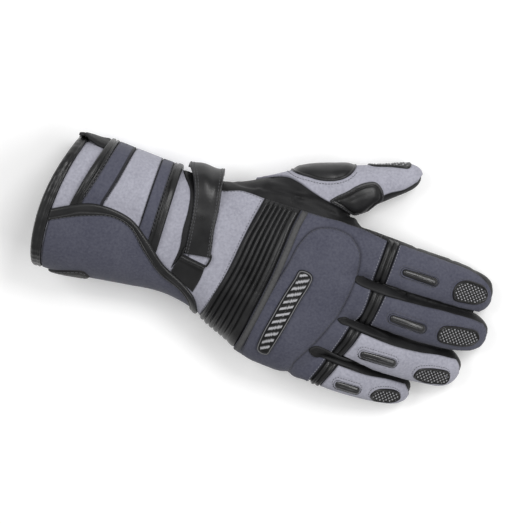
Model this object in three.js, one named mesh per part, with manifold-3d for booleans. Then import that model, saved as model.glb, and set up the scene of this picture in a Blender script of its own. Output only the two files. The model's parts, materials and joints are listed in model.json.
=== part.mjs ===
// A right-hand winter riding glove with a long gauntlet cuff, lying palm down.
// Millimetres. +X runs from the cuff to the fingertips, +Y towards the thumb, +Z up through the
// back of the hand. The origin is on the resting plane, under the middle of the whole glove.
//
// The glove is a hollow wall: a body tube (cuff, wrist and hand), four finger tubes and a thumb
// tube are joined, hollowed and parted at the finger roots, the thumb root and the wrist. The
// panels, bindings, straps and pads are thin solids that lie on that wall, a small gap above it.

import * as THREE from "three";
import { mergeVertices } from "three/addons/utils/BufferGeometryUtils.js";
import Module from "manifold-3d";

const wasm = await Module();
wasm.setup();

// Driving dimensions
const wall = 2.2; // leather or textile with its lining
const gap = 0.3; // between neighbouring pieces
const panel = 1.3; // a single layer of textile or leather
const restingPlane = 0; // the cuff and fingertips are flattened here
const cuffEdge = -1; // where the wall ends, inside the binding
const bindingWidth = 6.5;
const bindingLift = 1.9; // how far the binding stands off the wall
const originAlong = 158.6; // where the middle of the glove lies in the measures below
const originAcross = 25.3;

// The panel outlines below are drawn as seen by someone who looks down on the back of the hand,
// leaning a little to the thumb side: `along` is X and `across` is the direction in that view.
const radians = THREE.MathUtils.degToRad;
const lean = radians(12);
const viewHeight = 30; // height at which `across` equals Y

// Cuff, wrist and hand, as cross-sections at stations along X. The last two columns shift the
// thumb-side and little-finger edges along X, so the cuff and the knuckles end in a bow.
const bodyRows = [
  { at: -1, y: 1.9, top: 66, bottom: -4, wide: 45.5, boxy: 2.4, thumbEdge: 7, littleEdge: 6 },
  { at: 20, y: 4.4, top: 65, bottom: -4, wide: 47.8, boxy: 2.4, thumbEdge: 3, littleEdge: 2 },
  { at: 45, y: 6.2, top: 62, bottom: -4, wide: 45.9, boxy: 2.4, thumbEdge: 0, littleEdge: 0 },
  { at: 70, y: 7.7, top: 57.5, bottom: -4, wide: 43.6, boxy: 2.4, thumbEdge: 0, littleEdge: 0 },
  { at: 90, y: 9, top: 53, bottom: -3.5, wide: 42.4, boxy: 2.4, thumbEdge: 0, littleEdge: 0 },
  { at: 105, y: 9.4, top: 51, bottom: -3.5, wide: 43.4, boxy: 2.4, thumbEdge: 0, littleEdge: 0 },
  { at: 120, y: 8.6, top: 51, bottom: -3.5, wide: 46, boxy: 2.5, thumbEdge: 0, littleEdge: 0 },
  { at: 136, y: 5, top: 50.5, bottom: -3, wide: 49.4, boxy: 2.6, thumbEdge: 0, littleEdge: -2 },
  { at: 152, y: 2.7, top: 50, bottom: -1.5, wide: 52.1, boxy: 2.7, thumbEdge: -1, littleEdge: -6 },
  { at: 172, y: 0.8, top: 49.5, bottom: 1.5, wide: 55.6, boxy: 2.8, thumbEdge: -3, littleEdge: -14 },
  { at: 196, y: 1.2, top: 48.5, bottom: 7, wide: 57.6, boxy: 2.9, thumbEdge: -4, littleEdge: -19 },
  { at: 226, y: 1.5, top: 46.5, bottom: 12.5, wide: 57.6, boxy: 3, thumbEdge: -4, littleEdge: -19 },
];

// The fingers' shape from inside the hand (share 0) to the tip (share 1), as shares of their size
const fingerRows = [
  { at: 0, wide: 0.97, thick: 1, fall: 0 },
  { at: 0.3, wide: 1, thick: 1, fall: -0.03 },
  { at: 0.55, wide: 1, thick: 0.98, fall: 0.12 },
  { at: 0.78, wide: 0.98, thick: 0.92, fall: 0.52 },
  { at: 1, wide: 0.92, thick: 0.82, fall: 1 },
];

// Each finger's axis from its root to its tip, its half sizes, and its roll in degrees
const fingers = [
  { name: "index", x: [209, 313.4], y: [42.6, 38.6], z: [31, 4.4], wide: 14.9, thick: 13, roll: -4 },
  { name: "middle", x: [209, 319.6], y: [12.1, 10], z: [33.5, 4.2], wide: 14.2, thick: 13, roll: 8 },
  { name: "ring", x: [208, 310.6], y: [-18.1, -19.5], z: [31.5, 4.4], wide: 13.5, thick: 13, roll: 17 },
  { name: "little", x: [199, 282.8], y: [-45.4, -45.6], z: [27, 3.4], wide: 11.4, thick: 11.6, roll: 14 },
];
const handFront = 226; // the hand closes here, between the fingers
const handDome = 20;
const fingerBoxy = 2.9;
const fingertipDome = 15;
const domeBoxy = 2.3;

// The thumb, by distance from its root inside the palm
const thumbRows = [
  { at: 0, x: 118, y: 34, z: 24, wide: 15.5, thick: 17 },
  { at: 19, x: 134, y: 43.7, z: 23.5, wide: 17.2, thick: 18.5 },
  { at: 37.5, x: 150, y: 52.4, z: 22.5, wide: 18, thick: 18.4 },
  { at: 61, x: 170, y: 64.2, z: 21, wide: 18.4, thick: 17.4 },
  { at: 83, x: 189, y: 74.4, z: 19.5, wide: 16.2, thick: 15.8 },
  { at: 104, x: 207, y: 84.6, z: 17, wide: 13.4, thick: 14 },
  { at: 123, x: 223, y: 94, z: 13, wide: 10.2, thick: 12 },
  { at: 141, x: 237.6, y: 103.3, z: 8.8, wide: 8.8, thick: 10.4 },
];
const thumbBoxy = 2.3;
const thumbTip = 141;
const thumbDome = 17;

// Seams and edges, in the view described above: [along, across]
const fingerRoot = 227;
const indexSide = 62; // the finger cut ends here, short of the thumb
const littleRoot = 213;
const littleSide = -32.9;
const thumbRoot = { x: 197, y: 79.5, turn: 29, below: 18.6 };
const wristSeam = [
  ...[[-60, -150], [112, -150], [127, -45], [141, 52], [125, 51.5]],
  ...[[112, 46.5], [108, 47], [108, 150], [-60, 150]],
];
const thumbSideOut = 75; // beyond the silhouette on either side
const littleSideOut = -75;

const closureLift = 2.9; // the closure stands proud of the cuff
const closureSeams = [
  [[25, 60], [20, 30], [16.5, 4]],
  [[32, 60], [28, 30], [24, 9]],
  [[46, 60], [42, 30], [38, 12]],
  [[64.5, 60], [65.3, 30], [66, 8]],
  [[73, 60], [74, 28], [75, 0]],
  [[80, 60], [81.5, 28], [83, -5]],
];
const closureBands = [
  { name: "closure_rear_binding", tone: "blackLeather" },
  { name: "closure_rear_stripe", tone: "slateTextile" },
  { name: "closure_middle_stripe", tone: "greyTextile" },
  { name: "closure_front_stripe", tone: "slateTextile" },
  { name: "closure_front_binding", tone: "blackLeather" },
];
const flapEdge = [
  ...[[5, -5], [17, 2], [30, 8], [45, 9.5], [60, 7]],
  ...[[75, -2.5], [90, -14], [110, -23], [120, -30], [126, -41]],
];
const flapSeam = [
  ...[[5, -13.5], [16, -7.5], [30, -1], [47, 4], [60, 1.5]],
  ...[[75, -11], [90, -21], [108, -27], [117, -33.5], [121, -41]],
];

const pleatCount = 7;
const pleatsRear = 134.8; // where the first pleat starts, on the middle line of the view
const pleatsWide = 27.4;
const pleatsSlant = 0.145; // how far the pleats run forward for each millimetre towards the thumb
const pleatsThumbEnd = 55;
const pleatsLittleEnd = 160; // degrees round the hand
const pleatValley = gap + 1;
const pleatCrest = gap + 2.4;

const second = gap + panel + gap; // where a second layer starts, over a panel
const guardLift = 3;
const guardOutline = [
  ...[[165, -56], [163.3, -38], [166, -15], [170.5, 10], [174, 33], [181, 44], [195, 48.5]],
  ...[[208, 47], [217, 37], [219.2, 15], [215.5, -8], [208, -30], [199, -46], [193.5, -56]],
];
const tongues = [
  {
    name: "fourchette_index_middle",
    places: [[231.5, 25.5], [222, 25.5], [218, 21.5], [222, 17.5], [231.5, 17]],
  },
  {
    name: "fourchette_middle_ring",
    places: [[230, -5], [222, -4.8], [216.5, -8.5], [222, -12], [229, -12.5]],
  },
  {
    name: "fourchette_ring_little",
    places: [[218, -31.5], [209, -31], [205.5, -35], [210, -38.7], [218, -39]],
  },
];

const fingerPanels = [
  {
    name: "index",
    tone: "slateTextile",
    band: [[231.3, 54], [239.3, 54], [239.3, 25.8], [231.3, 25.8]],
    back: [
      ...[[239.3, 54], [270, 53.8], [290, 53], [298, 52], [304, 50], [309.5, 44.5], [310.5, 38]],
      ...[[307.5, 32], [295, 28.3], [270, 26.6], [239.3, 25.8]],
    ],
    bar: [[247, 35], [249, 34], [271.5, 35], [273, 38], [271, 42], [249, 40.5], [247, 39]],
    pad: [[286, 37], [291, 46.5], [305, 46.5], [309, 41], [305.5, 35], [294, 31.7], [286, 31]],
  },
  {
    name: "middle",
    tone: "slateTextile",
    band: [[232, -4.2], [233, 8], [233, 16.5], [241.5, 16.6], [240.5, 4], [239.5, -4.4]],
    back: [
      ...[[242, 16.8], [265, 18.7], [285, 20.8], [305, 22.3], [313, 21.5], [316.5, 17.5], [317, 12]],
      ...[[315.5, 7], [312, 4.3], [304, 1.6], [290, -2.5], [270, -4], [240, -4.4]],
    ],
    bar: [[249.5, 2], [251.5, 1], [275, 2.2], [277, 5.5], [275, 9], [251.5, 8.2], [249.5, 7]],
    pad: [[286, 5], [291, 13], [306, 16], [314, 14], [311, 5], [302, 1.5], [287, 0.5]],
  },
  {
    name: "ring",
    tone: "greyTextile",
    band: [[222.5, -30.6], [225.5, -22], [227.3, -12.7], [235.8, -12.9], [233.3, -22], [229.5, -31.2]],
    back: [
      ...[[236, -13], [260, -13.6], [280, -11.6], [292, -9.3], [302, -7.8], [307, -10], [308.3, -15]],
      ...[[307, -21], [304, -25.5], [297, -28.5], [285, -31.5], [260, -33], [229.8, -31.4]],
    ],
    bar: [[239.5, -26.5], [241.5, -28], [264, -27], [266.5, -24], [264, -21.2], [241.5, -22.5], [239.5, -24]],
    pad: [[281, -26], [286, -19], [300, -16.5], [304.5, -20], [300.5, -27], [289, -28.5], [281, -29.5]],
  },
  {
    name: "little",
    tone: "greyTextile",
    band: [[214.8, -56], [218.5, -46], [220.3, -39.6], [228.8, -39.7], [226, -47], [221.5, -56]],
    back: [
      ...[[229, -39.8], [250, -39.7], [264, -37.5], [276, -36.3], [280, -38], [281, -42]],
      ...[[279, -46], [274, -50.3], [266, -53.5], [250, -55.3], [222, -56.2]],
    ],
    bar: [[230.5, -53.5], [232, -54.3], [248, -53], [249.8, -50.5], [248, -48], [232, -49], [230.5, -50]],
    pad: [[258, -50], [264, -44], [276, -42.8], [278, -47], [271, -51.5], [258, -52.7]],
  },
];

// Value of one column of a table at a station, as a smooth curve through the rows
function read(rows, key, at) {
  const last = rows.length - 1;
  let i = 0;
  while (i < last - 1 && at > rows[i + 1].at) i += 1;
  const [a, b] = [rows[i], rows[i + 1]];
  const span = b.at - a.at;
  const t = THREE.MathUtils.clamp((at - a.at) / span, 0, 1);
  const slope = (p, q) => (q[key] - p[key]) / (q.at - p.at);
  const middle = slope(a, b);
  const inSlope = i > 0 ? (slope(rows[i - 1], a) + middle) / 2 : middle;
  const outSlope = i < last - 1 ? (middle + slope(b, rows[i + 2])) / 2 : middle;
  const [t2, t3] = [t * t, t * t * t];
  return (
    (2 * t3 - 3 * t2 + 1) * a[key] +
    (t3 - 2 * t2 + t) * span * inSlope +
    (3 * t2 - 2 * t3) * b[key] +
    (t3 - t2) * span * outSlope
  );
}

// Limbs: each gives, at a station, the centre, the side and up directions and the half sizes
const bodyLimb = {
  start: cuffEdge,
  end: handFront,
  dome: handDome,
  boxy: (at) => read(bodyRows, "boxy", at),
  edge: (at, t) => t * t * read(bodyRows, t > 0 ? "thumbEdge" : "littleEdge", at),
  section: (at) => {
    const [top, bottom] = [read(bodyRows, "top", at), read(bodyRows, "bottom", at)];
    return {
      centre: new THREE.Vector3(at, read(bodyRows, "y", at), (top + bottom) / 2),
      side: new THREE.Vector3(0, 1, 0),
      up: new THREE.Vector3(0, 0, 1),
      wide: read(bodyRows, "wide", at),
      thick: (top - bottom) / 2,
    };
  },
};

function fingerLimb(finger) {
  const [root, tip] = finger.x;
  const shareOf = (at) => (at - root) / (tip - root);
  const centreAt = (at) => {
    const fall = read(fingerRows, "fall", shareOf(at));
    const y = THREE.MathUtils.lerp(...finger.y, shareOf(at));
    return new THREE.Vector3(at, y, THREE.MathUtils.lerp(...finger.z, fall));
  };
  const roll = radians(finger.roll);
  return {
    start: root,
    end: tip,
    dome: fingertipDome,
    boxy: () => fingerBoxy,
    edge: () => 0,
    section: (at) => {
      const share = shareOf(at);
      const centre = centreAt(at);
      const step = 0.5;
      const forward = centreAt(at + step).sub(centreAt(at - step)).normalize();
      const side = new THREE.Vector3(0, Math.cos(roll), Math.sin(roll));
      side.addScaledVector(forward, -side.dot(forward)).normalize();
      return {
        centre,
        side,
        up: forward.clone().cross(side),
        wide: finger.wide * read(fingerRows, "wide", share),
        thick: finger.thick * read(fingerRows, "thick", share),
      };
    },
  };
}

const thumbLimb = {
  start: 0,
  end: thumbTip,
  dome: thumbDome,
  boxy: () => thumbBoxy,
  edge: () => 0,
  section: (at) => {
    const place = (s) => new THREE.Vector3(...["x", "y", "z"].map((key) => read(thumbRows, key, s)));
    const step = 1;
    const forward = place(at + step).sub(place(at - step)).normalize();
    const side = new THREE.Vector3(0, 0, 1).cross(forward).normalize();
    return {
      centre: place(at),
      side,
      up: forward.clone().cross(side),
      wide: read(thumbRows, "wide", at),
      thick: read(thumbRows, "thick", at),
    };
  },
};

// Point on a limb's surface, `lift` outside it. The angle runs from the thumb side (0) over the
// back (90) to the little-finger side (180) and the palm (270).
function limbPoint(limb, at, angle, lift) {
  const end = limb.end + lift;
  const domeStart = limb.end - limb.dome;
  const intoDome = THREE.MathUtils.clamp((at - domeStart) / (end - domeStart), 0, 0.999);
  const closing = at > domeStart ? Math.pow(1 - Math.pow(intoDome, domeBoxy), 1 / domeBoxy) : 1;
  const { centre, side, up, wide, thick } = limb.section(Math.min(at, limb.end));
  const power = 2 / limb.boxy(at);
  const [c, s] = [Math.cos(radians(angle)), Math.sin(radians(angle))];
  const outwards = (wide + lift) * Math.sign(c) * Math.pow(Math.abs(c), power) * closing;
  const upwards = (thick + lift) * Math.sign(s) * Math.pow(Math.abs(s), power) * closing;
  const point = centre.clone().addScaledVector(side, outwards).addScaledVector(up, upwards);
  point.x += Math.max(0, at - limb.end) + limb.edge(at, outwards / (wide + lift));
  const seat = limb === bodyLimb && at < bindingWidth ? bindingLift : 0;
  point.z = Math.max(point.z, restingPlane, restingPlane + seat - lift);
  return point;
}

// Solids from triangles
function solidFrom(points, triangles) {
  const geometry = new THREE.BufferGeometry();
  geometry.setAttribute("position", new THREE.Float32BufferAttribute(points.flatMap((p) => p.toArray()), 3));
  geometry.setIndex(triangles);
  return solidOf(geometry);
}

function solidOf(geometry) {
  const bare = geometry.clone();
  for (const name of Object.keys(bare.attributes)) {
    if (name !== "position") bare.deleteAttribute(name);
  }
  const merged = mergeVertices(bare, 1e-4);
  return new wasm.Manifold(
    new wasm.Mesh({
      numProp: 3,
      vertProperties: new Float32Array(merged.attributes.position.array),
      triVerts: new Uint32Array(merged.index.array),
    }),
  );
}

function geometryOf(solid) {
  const mesh = solid.getMesh();
  const geometry = new THREE.BufferGeometry();
  geometry.setAttribute("position", new THREE.BufferAttribute(new Float32Array(mesh.vertProperties), 3));
  geometry.setIndex(new THREE.BufferAttribute(new Uint32Array(mesh.triVerts), 1));
  return geometry;
}

const largest = (solid) =>
  solid.decompose().reduce((best, body) => (body.volume() > best.volume() ? body : best));

// A closed tube along a limb, with a ring of points at each station
function tube(limb, stations, sides, lift) {
  const points = [];
  for (const at of stations) {
    for (let j = 0; j < sides; j += 1) points.push(limbPoint(limb, at, (360 * (j + 0.5)) / sides, lift));
  }
  const rings = stations.length;
  const middle = (ring) => {
    const sum = new THREE.Vector3();
    for (let j = 0; j < sides; j += 1) sum.add(points[ring * sides + j]);
    return sum.divideScalar(sides);
  };
  const [back, front] = [points.length, points.length + 1];
  points.push(middle(0), middle(rings - 1));
  const triangles = [];
  for (let j = 0; j < sides; j += 1) {
    const k = (j + 1) % sides;
    triangles.push(back, k, j);
    triangles.push(front, (rings - 1) * sides + j, (rings - 1) * sides + k);
    for (let i = 0; i < rings - 1; i += 1) {
      const [a, b, c, d] = [i * sides + j, i * sides + k, (i + 1) * sides + k, (i + 1) * sides + j];
      triangles.push(a, b, c, a, c, d);
    }
  }
  return solidFrom(points, triangles);
}

// A closed hoop round a limb: one section of stations and lifts, carried round it
function hoop(limb, section, sides) {
  const points = [];
  const triangles = [];
  const count = section.length;
  for (let j = 0; j < sides; j += 1) {
    const angle = (360 * (j + 0.5)) / sides;
    for (const { at, lift } of section) points.push(limbPoint(limb, at, angle, lift));
    for (let i = 0; i < count; i += 1) {
      const k = (i + 1) % count;
      const next = ((j + 1) % sides) * count;
      const [a, b, c, d] = [j * count + i, j * count + k, next + k, next + i];
      triangles.push(a, b, c, a, c, d);
    }
  }
  return solidFrom(points, triangles);
}

// A closed sheet between two grids of points, rows by columns, the first grid on the outside
function sheetBetween(over, under) {
  const [rows, columns] = [over.length, over[0].length];
  const points = [...over.flat(), ...under.flat()];
  const top = (i, j) => i * columns + j;
  const low = (i, j) => rows * columns + top(i, j);
  const triangles = [];
  const quad = (a, b, c, d) => triangles.push(a, c, b, a, d, c);
  for (let i = 0; i < rows - 1; i += 1) {
    for (let j = 0; j < columns - 1; j += 1) {
      quad(top(i, j), top(i, j + 1), top(i + 1, j + 1), top(i + 1, j));
      quad(low(i, j), low(i + 1, j), low(i + 1, j + 1), low(i, j + 1));
    }
    quad(top(i, 0), top(i + 1, 0), low(i + 1, 0), low(i, 0));
    quad(top(i, columns - 1), low(i, columns - 1), low(i + 1, columns - 1), top(i + 1, columns - 1));
  }
  for (let j = 0; j < columns - 1; j += 1) {
    quad(top(0, j), low(0, j), low(0, j + 1), top(0, j + 1));
    quad(top(rows - 1, j), top(rows - 1, j + 1), low(rows - 1, j + 1), low(rows - 1, j));
  }
  return solidFrom(points, triangles);
}

const steps = (from, to, count) =>
  Array.from({ length: count + 1 }, (_, i) => THREE.MathUtils.lerp(from, to, i / count));

// Stations along a limb: evenly up to its dome, and closer in the dome
function stationsOf(limb, lift, straight) {
  const domeStart = limb.end - limb.dome;
  const inDome = [0.5, 0.82, 0.975].map((share) => domeStart + share * (limb.dome + lift));
  return [...steps(limb.start - lift, domeStart, straight), ...inDome];
}

const fingerLimbs = fingers.map(fingerLimb);
const bodySides = 18;
const fingerSides = 10;
const thumbSides = 10;
const fingerRings = 3; // along the straight of a finger
const thumbRings = 4;
const bodyRings = [bindingWidth - 0.5, bindingWidth + 0.5, 45, 90, 105, 122, 145, 175, handFront - handDome];

function bodyTube(lift, start) {
  const inDome = [0.4, 0.72, 0.93].map((share) => handFront - handDome + share * (handDome + lift));
  return tube(bodyLimb, [start, ...bodyRings, ...inDome], bodySides, lift);
}

const fingerTube = (limb, lift) => tube(limb, stationsOf(limb, lift, fingerRings), fingerSides, lift);

// The whole glove as one filled solid, `lift` outside the wall's outer face
function filledGlove(lift, start = cuffEdge) {
  const tubes = fingerLimbs.map((limb) => fingerTube(limb, lift));
  tubes.push(tube(thumbLimb, stationsOf(thumbLimb, lift, thumbRings), thumbSides, lift));
  return tubes.reduce((solid, limb) => solid.add(limb), bodyTube(lift, start));
}

// A box that reaches far below and above the glove, unless it starts at `lowZ`
const far = 200;
function block(lowX, highX, lowY, highY, lowZ = -far) {
  const box = new THREE.BoxGeometry(highX - lowX, highY - lowY, far - lowZ);
  return box.translate((lowX + highX) / 2, (lowY + highY) / 2, (lowZ + far) / 2);
}

// Points of a smooth curve through a few places in the view
function curve(places) {
  const through = places.map(([along, across]) => new THREE.Vector2(along, across));
  return new THREE.SplineCurve(through).getPoints(2 * (places.length - 1)).map((p) => [p.x, p.y]);
}

// A closed outline in the view, drawn in by `margin` all round, so that neighbours keep a gap
function outlineOf(places, margin = gap / 2) {
  const points = places.map(([along, across]) => new THREE.Vector2(along, across));
  const merged = points.filter((p, i) => p.distanceTo(points[(i + 1) % points.length]) > 0.2);
  const turn = THREE.ShapeUtils.area(merged) > 0 ? 1 : -1;
  return merged.map((p, i) => {
    const [before, after] = [merged.at(i - 1), merged[(i + 1) % merged.length]];
    const inDirection = p.clone().sub(before).normalize();
    const outDirection = after.clone().sub(p).normalize();
    const along = inDirection.clone().add(outDirection).normalize();
    const reach = margin / Math.max(0.35, along.dot(inDirection));
    return new THREE.Vector2(p.x - turn * along.y * reach, p.y + turn * along.x * reach);
  });
}

// The solid straight below and above an outline, in the leaning view of the back of the hand
function column(points, lowest = -far) {
  const options = { depth: 2 * far, bevelEnabled: false };
  const geometry = new THREE.ExtrudeGeometry(new THREE.Shape(points), options);
  geometry.translate(0, 0, -far).rotateX(-lean).translate(0, 0, viewHeight);
  return solidOf(geometry).intersect(solidOf(block(-far, 2 * far, -far, far, lowest)));
}

const filled = new Map();
function filledAt(lift) {
  const key = lift.toFixed(2);
  if (!filled.has(key)) filled.set(key, filledGlove(lift));
  return filled.get(key);
}

const topmost = (solid) =>
  solid
    .decompose()
    .filter((body) => body.volume() > 2)
    .reduce((best, body) => (body.boundingBox().max[2] > best.boundingBox().max[2] ? body : best));

// A panel that lies on the wall, from `low` to `high` outside it, no lower than `lowest`. It lies
// on the whole glove, or on one finger where `limb` is given.
function cover(places, { low = gap, high = gap + panel, lowest = 1, limb } = {}) {
  const over = limb ? fingerTube(limb, high) : filledAt(high);
  return topmost(over.subtract(filledAt(low)).intersect(column(outlineOf(places), lowest)));
}

// Materials
const tones = {
  blackLeather: { color: 0x2b2b2b, roughness: 0.5, metalness: 0 },
  slateTextile: { color: 0x4e4f5e, roughness: 0.85, metalness: 0 },
  greyTextile: { color: 0xa9aab5, roughness: 0.85, metalness: 0 },
  blackRubber: { color: 0x232325, roughness: 0.6, metalness: 0 },
};

const glove = new THREE.Group();
glove.name = "winter_glove";

function add(name, tone, solid) {
  const mesh = new THREE.Mesh(geometryOf(solid), new THREE.MeshStandardMaterial(tones[tone]));
  mesh.name = name;
  mesh.position.set(-originAlong, -originAcross, 0);
  glove.add(mesh);
}

// The wall of the glove, parted at the finger roots, the thumb root and the wrist
function makeShells() {
  const shell = filledAt(0).subtract(filledGlove(-wall, cuffEdge - 5));
  const fingerCutter = (slack) =>
    solidOf(block(fingerRoot - slack, 2 * far, -far, indexSide)).add(
      solidOf(block(littleRoot - slack, 2 * far, -far, littleSide + slack)),
    );
  const thumbCutter = (slack) => {
    const cutter = block(-slack, far, -thumbRoot.below - slack, far);
    return solidOf(cutter.rotateZ(radians(thumbRoot.turn)).translate(thumbRoot.x, thumbRoot.y, 0));
  };
  const wristCutter = (slack) => column(outlineOf(wristSeam, -slack));

  add("gauntlet_shell", "greyTextile", largest(shell.intersect(wristCutter(0))));
  const palm = shell.subtract(fingerCutter(gap)).subtract(thumbCutter(gap)).subtract(wristCutter(gap));
  add("palm_shell", "blackLeather", largest(palm));
  const fromThumbSide = (a, b) => b.boundingBox().max[1] - a.boundingBox().max[1];
  const tubes = shell.intersect(fingerCutter(0)).decompose();
  tubes
    .filter((body) => body.volume() > 50)
    .sort(fromThumbSide)
    .forEach((body, i) => add(`${fingers[i].name}_finger`, "blackLeather", body));
  add("thumb_shell", "blackLeather", largest(shell.intersect(thumbCutter(0))));
}

// Cuff: the binding over its edge, the gusset on the thumb side, the closure's bands, and the flap
// with its own binding and pull tab
function makeCuff() {
  const section = [
    { at: bindingWidth - 0.7, lift: gap },
    { at: bindingWidth - 0.7, lift: bindingLift },
    { at: cuffEdge - bindingLift, lift: bindingLift },
    { at: cuffEdge - bindingLift, lift: -wall - bindingLift },
    { at: bindingWidth - 0.7, lift: -wall - bindingLift },
    { at: bindingWidth - 0.7, lift: -wall - gap },
    { at: cuffEdge - gap, lift: -wall - gap },
    { at: cuffEdge - gap, lift: gap },
  ];
  add("cuff_binding", "blackLeather", hoop(bodyLimb, section, bodySides));

  // The pieces behind the binding follow its bow
  const rings = [cuffEdge - 20, 2.5, bindingWidth - 0.7 + 3 * gap];
  const binding = tube(bodyLimb, rings, bodySides, 2 * closureLift);
  const behindBinding = (solid) => topmost(solid.subtract(binding));

  const gusset = [[4, 48], [4, thumbSideOut], [24, thumbSideOut], [23, 47]];
  add("cuff_gusset", "blackLeather", behindBinding(cover(gusset, { high: closureLift, lowest: 14 })));

  const flapAndBeyond = [...flapEdge, [126, littleSideOut], [-10, littleSideOut]];
  const flapColumn = column(outlineOf(flapAndBeyond, -gap / 2));
  for (const [i, { name, tone }] of closureBands.entries()) {
    const [rear, front] = [closureSeams[i], closureSeams[i + 1]];
    const places = [[rear[0][0], thumbSideOut], ...rear, ...front.toReversed(), [front[0][0], thumbSideOut]];
    const band = cover(places, { high: closureLift, lowest: 16 });
    add(name, tone, topmost(band.subtract(flapColumn)));
  }

  const flap = [...flapSeam, [121, littleSideOut], [5, littleSideOut]];
  add("cuff_flap", "slateTextile", behindBinding(cover(flap, { lowest: 8 })));
  const flapBinding = cover([...flapEdge, ...flapSeam.toReversed()], { high: gap + 2, lowest: 8 });
  add("cuff_flap_binding", "blackLeather", behindBinding(flapBinding));
  const tab = [[12, -38], [42, -38], [44, littleSideOut], [12, littleSideOut]];
  add("pull_tab", "blackLeather", cover(tab, { low: second, high: second + 2, lowest: 20 }));
}

// Wrist: the strap, the keeper that it ends in, its anchor beyond the keeper, and the backing band
function makeWrist() {
  const onPanel = { low: second, high: second + 2, lowest: 18 };
  const rear = curve([[82, 58], [90, 40], [95, 30], [98, 15], [99.6, 3.5]]);
  const front = curve([[109, 57], [112, 45], [115, 30], [118, 12], [119.5, 3.5]]);
  const strap = [[82, thumbSideOut], ...rear, ...front.toReversed(), [109, thumbSideOut]];
  add("wrist_strap", "blackLeather", cover(strap, onPanel));

  const keeper = [[99.5, 2.5], [120.5, 2.5], [121, -7.5], [100, -7.5]];
  const slot = [[102, -2], [118, -2], [118.3, -4.8], [102.3, -4.8]];
  const plate = cover(keeper, onPanel);
  add("strap_keeper", "blackRubber", plate.subtract(column(outlineOf(slot, 0))));
  add("strap_anchor", "blackLeather", cover([[101.2, -3], [120, -3], [116.5, -25], [97, -17]]));

  const backingRear = curve([[84, 54], [90, 40], [94.5, 25], [97, 5], [95.5, -15.5]]);
  const backingFront = curve([[90, 54], [94, 43], [99, 30], [102, 15], [100.5, -3.5]]);
  add("strap_backing", "blackLeather", cover([...backingRear, ...backingFront.toReversed()]));
}

// The pleats run across the hand. Each one rises steeply from its valley to a flat crest.
function pleatedPanel() {
  const columns = [{ along: 0, lift: pleatValley }];
  const pitch = pleatsWide / pleatCount;
  for (let start = 0; start < pleatsWide - 1; start += pitch) {
    columns.push({ along: start + 0.2 * pitch, lift: pleatCrest });
    columns.push({ along: start + 0.8 * pitch, lift: pleatCrest });
    columns.push({ along: start + pitch, lift: pleatValley });
  }
  const across = (p) => p.y * Math.cos(lean) - (p.z - viewHeight) * Math.sin(lean);
  let thumbEnd = 90;
  while (across(limbPoint(bodyLimb, pleatsRear, thumbEnd, 0)) < pleatsThumbEnd) thumbEnd -= 1;
  const place = (along, angle, lift) => {
    const straight = limbPoint(bodyLimb, pleatsRear + along, angle, 0);
    return limbPoint(bodyLimb, pleatsRear + along + pleatsSlant * across(straight), angle, lift);
  };
  const angles = steps(thumbEnd, pleatsLittleEnd, 9);
  const over = angles.map((angle) => columns.map(({ along, lift }) => place(along, angle, lift)));
  const under = angles.map((angle) => columns.map(({ along }) => place(along, angle, -0.5)));
  return largest(sheetBetween(over, under).subtract(filledAt(gap)));
}

// Hand: the pleats, the back panel with a notch between each two fingers, the raised knuckle guard
// and the plain raised plate on it
function makeHand() {
  add("rib_panel", "blackLeather", pleatedPanel());
  const rear = [[154, littleSideOut], [157.5, -48], [161, -24], [164.4, 0], [167.3, 27], [170, 53.5]];
  const thumbSide = [[184, 55], [200, 56], [215, 55.5], [231, 54]];
  const front = [
    ...[[231, 25.7], [222, 25.7], [217.8, 21.5], [222, 17.3], [232.5, 16.8]],
    ...[[231, 2], [229.5, -4.8], [222, -4.6], [216.2, -8.5], [222, -12.2], [226.5, -12.5]],
    ...[[225, -22], [221.5, -30.5], [209, -30.8], [205.2, -35], [210, -38.9], [219.5, -39.2]],
    ...[[216, -50], [213.5, -60], [212, littleSideOut]],
  ];
  add("back_panel", "slateTextile", cover([...rear, ...thumbSide, ...front], { lowest: 20 }));
  for (const { name, places } of tongues) add(name, "blackLeather", cover(places, { high: gap + 1 }));
  const guard = { low: second, high: second + guardLift, lowest: 30 };
  add("knuckle_guard", "slateTextile", cover(guardOutline, guard));
  const plate = [[171.5, -46], [181, -48], [190.5, 10], [188.5, 15.5], [183, 15.5], [179.5, 8]];
  const plateLow = second + guardLift + gap;
  add("badge", "blackRubber", cover(plate, { low: plateLow, high: plateLow + 1.8 }));
}

// Fingers: the flexing band, the textile back, a bar across it and the gripping pad at the tip
function makeFingers() {
  for (const [i, { name, tone, band, back, bar, pad }] of fingerPanels.entries()) {
    const limb = fingerLimbs[i];
    add(`${name}_flex_band`, "blackLeather", cover(band, { limb, high: gap + 1.9, lowest: 20 }));
    add(`${name}_back`, tone, cover(back, { limb, lowest: 12 }));
    add(`${name}_bar`, "blackRubber", cover(bar, { limb, low: second, high: second + 1 }));
    add(`${name}_tip_pad`, "blackRubber", cover(pad, { limb, low: second, high: second + 1.2 }));
  }
}

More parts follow.
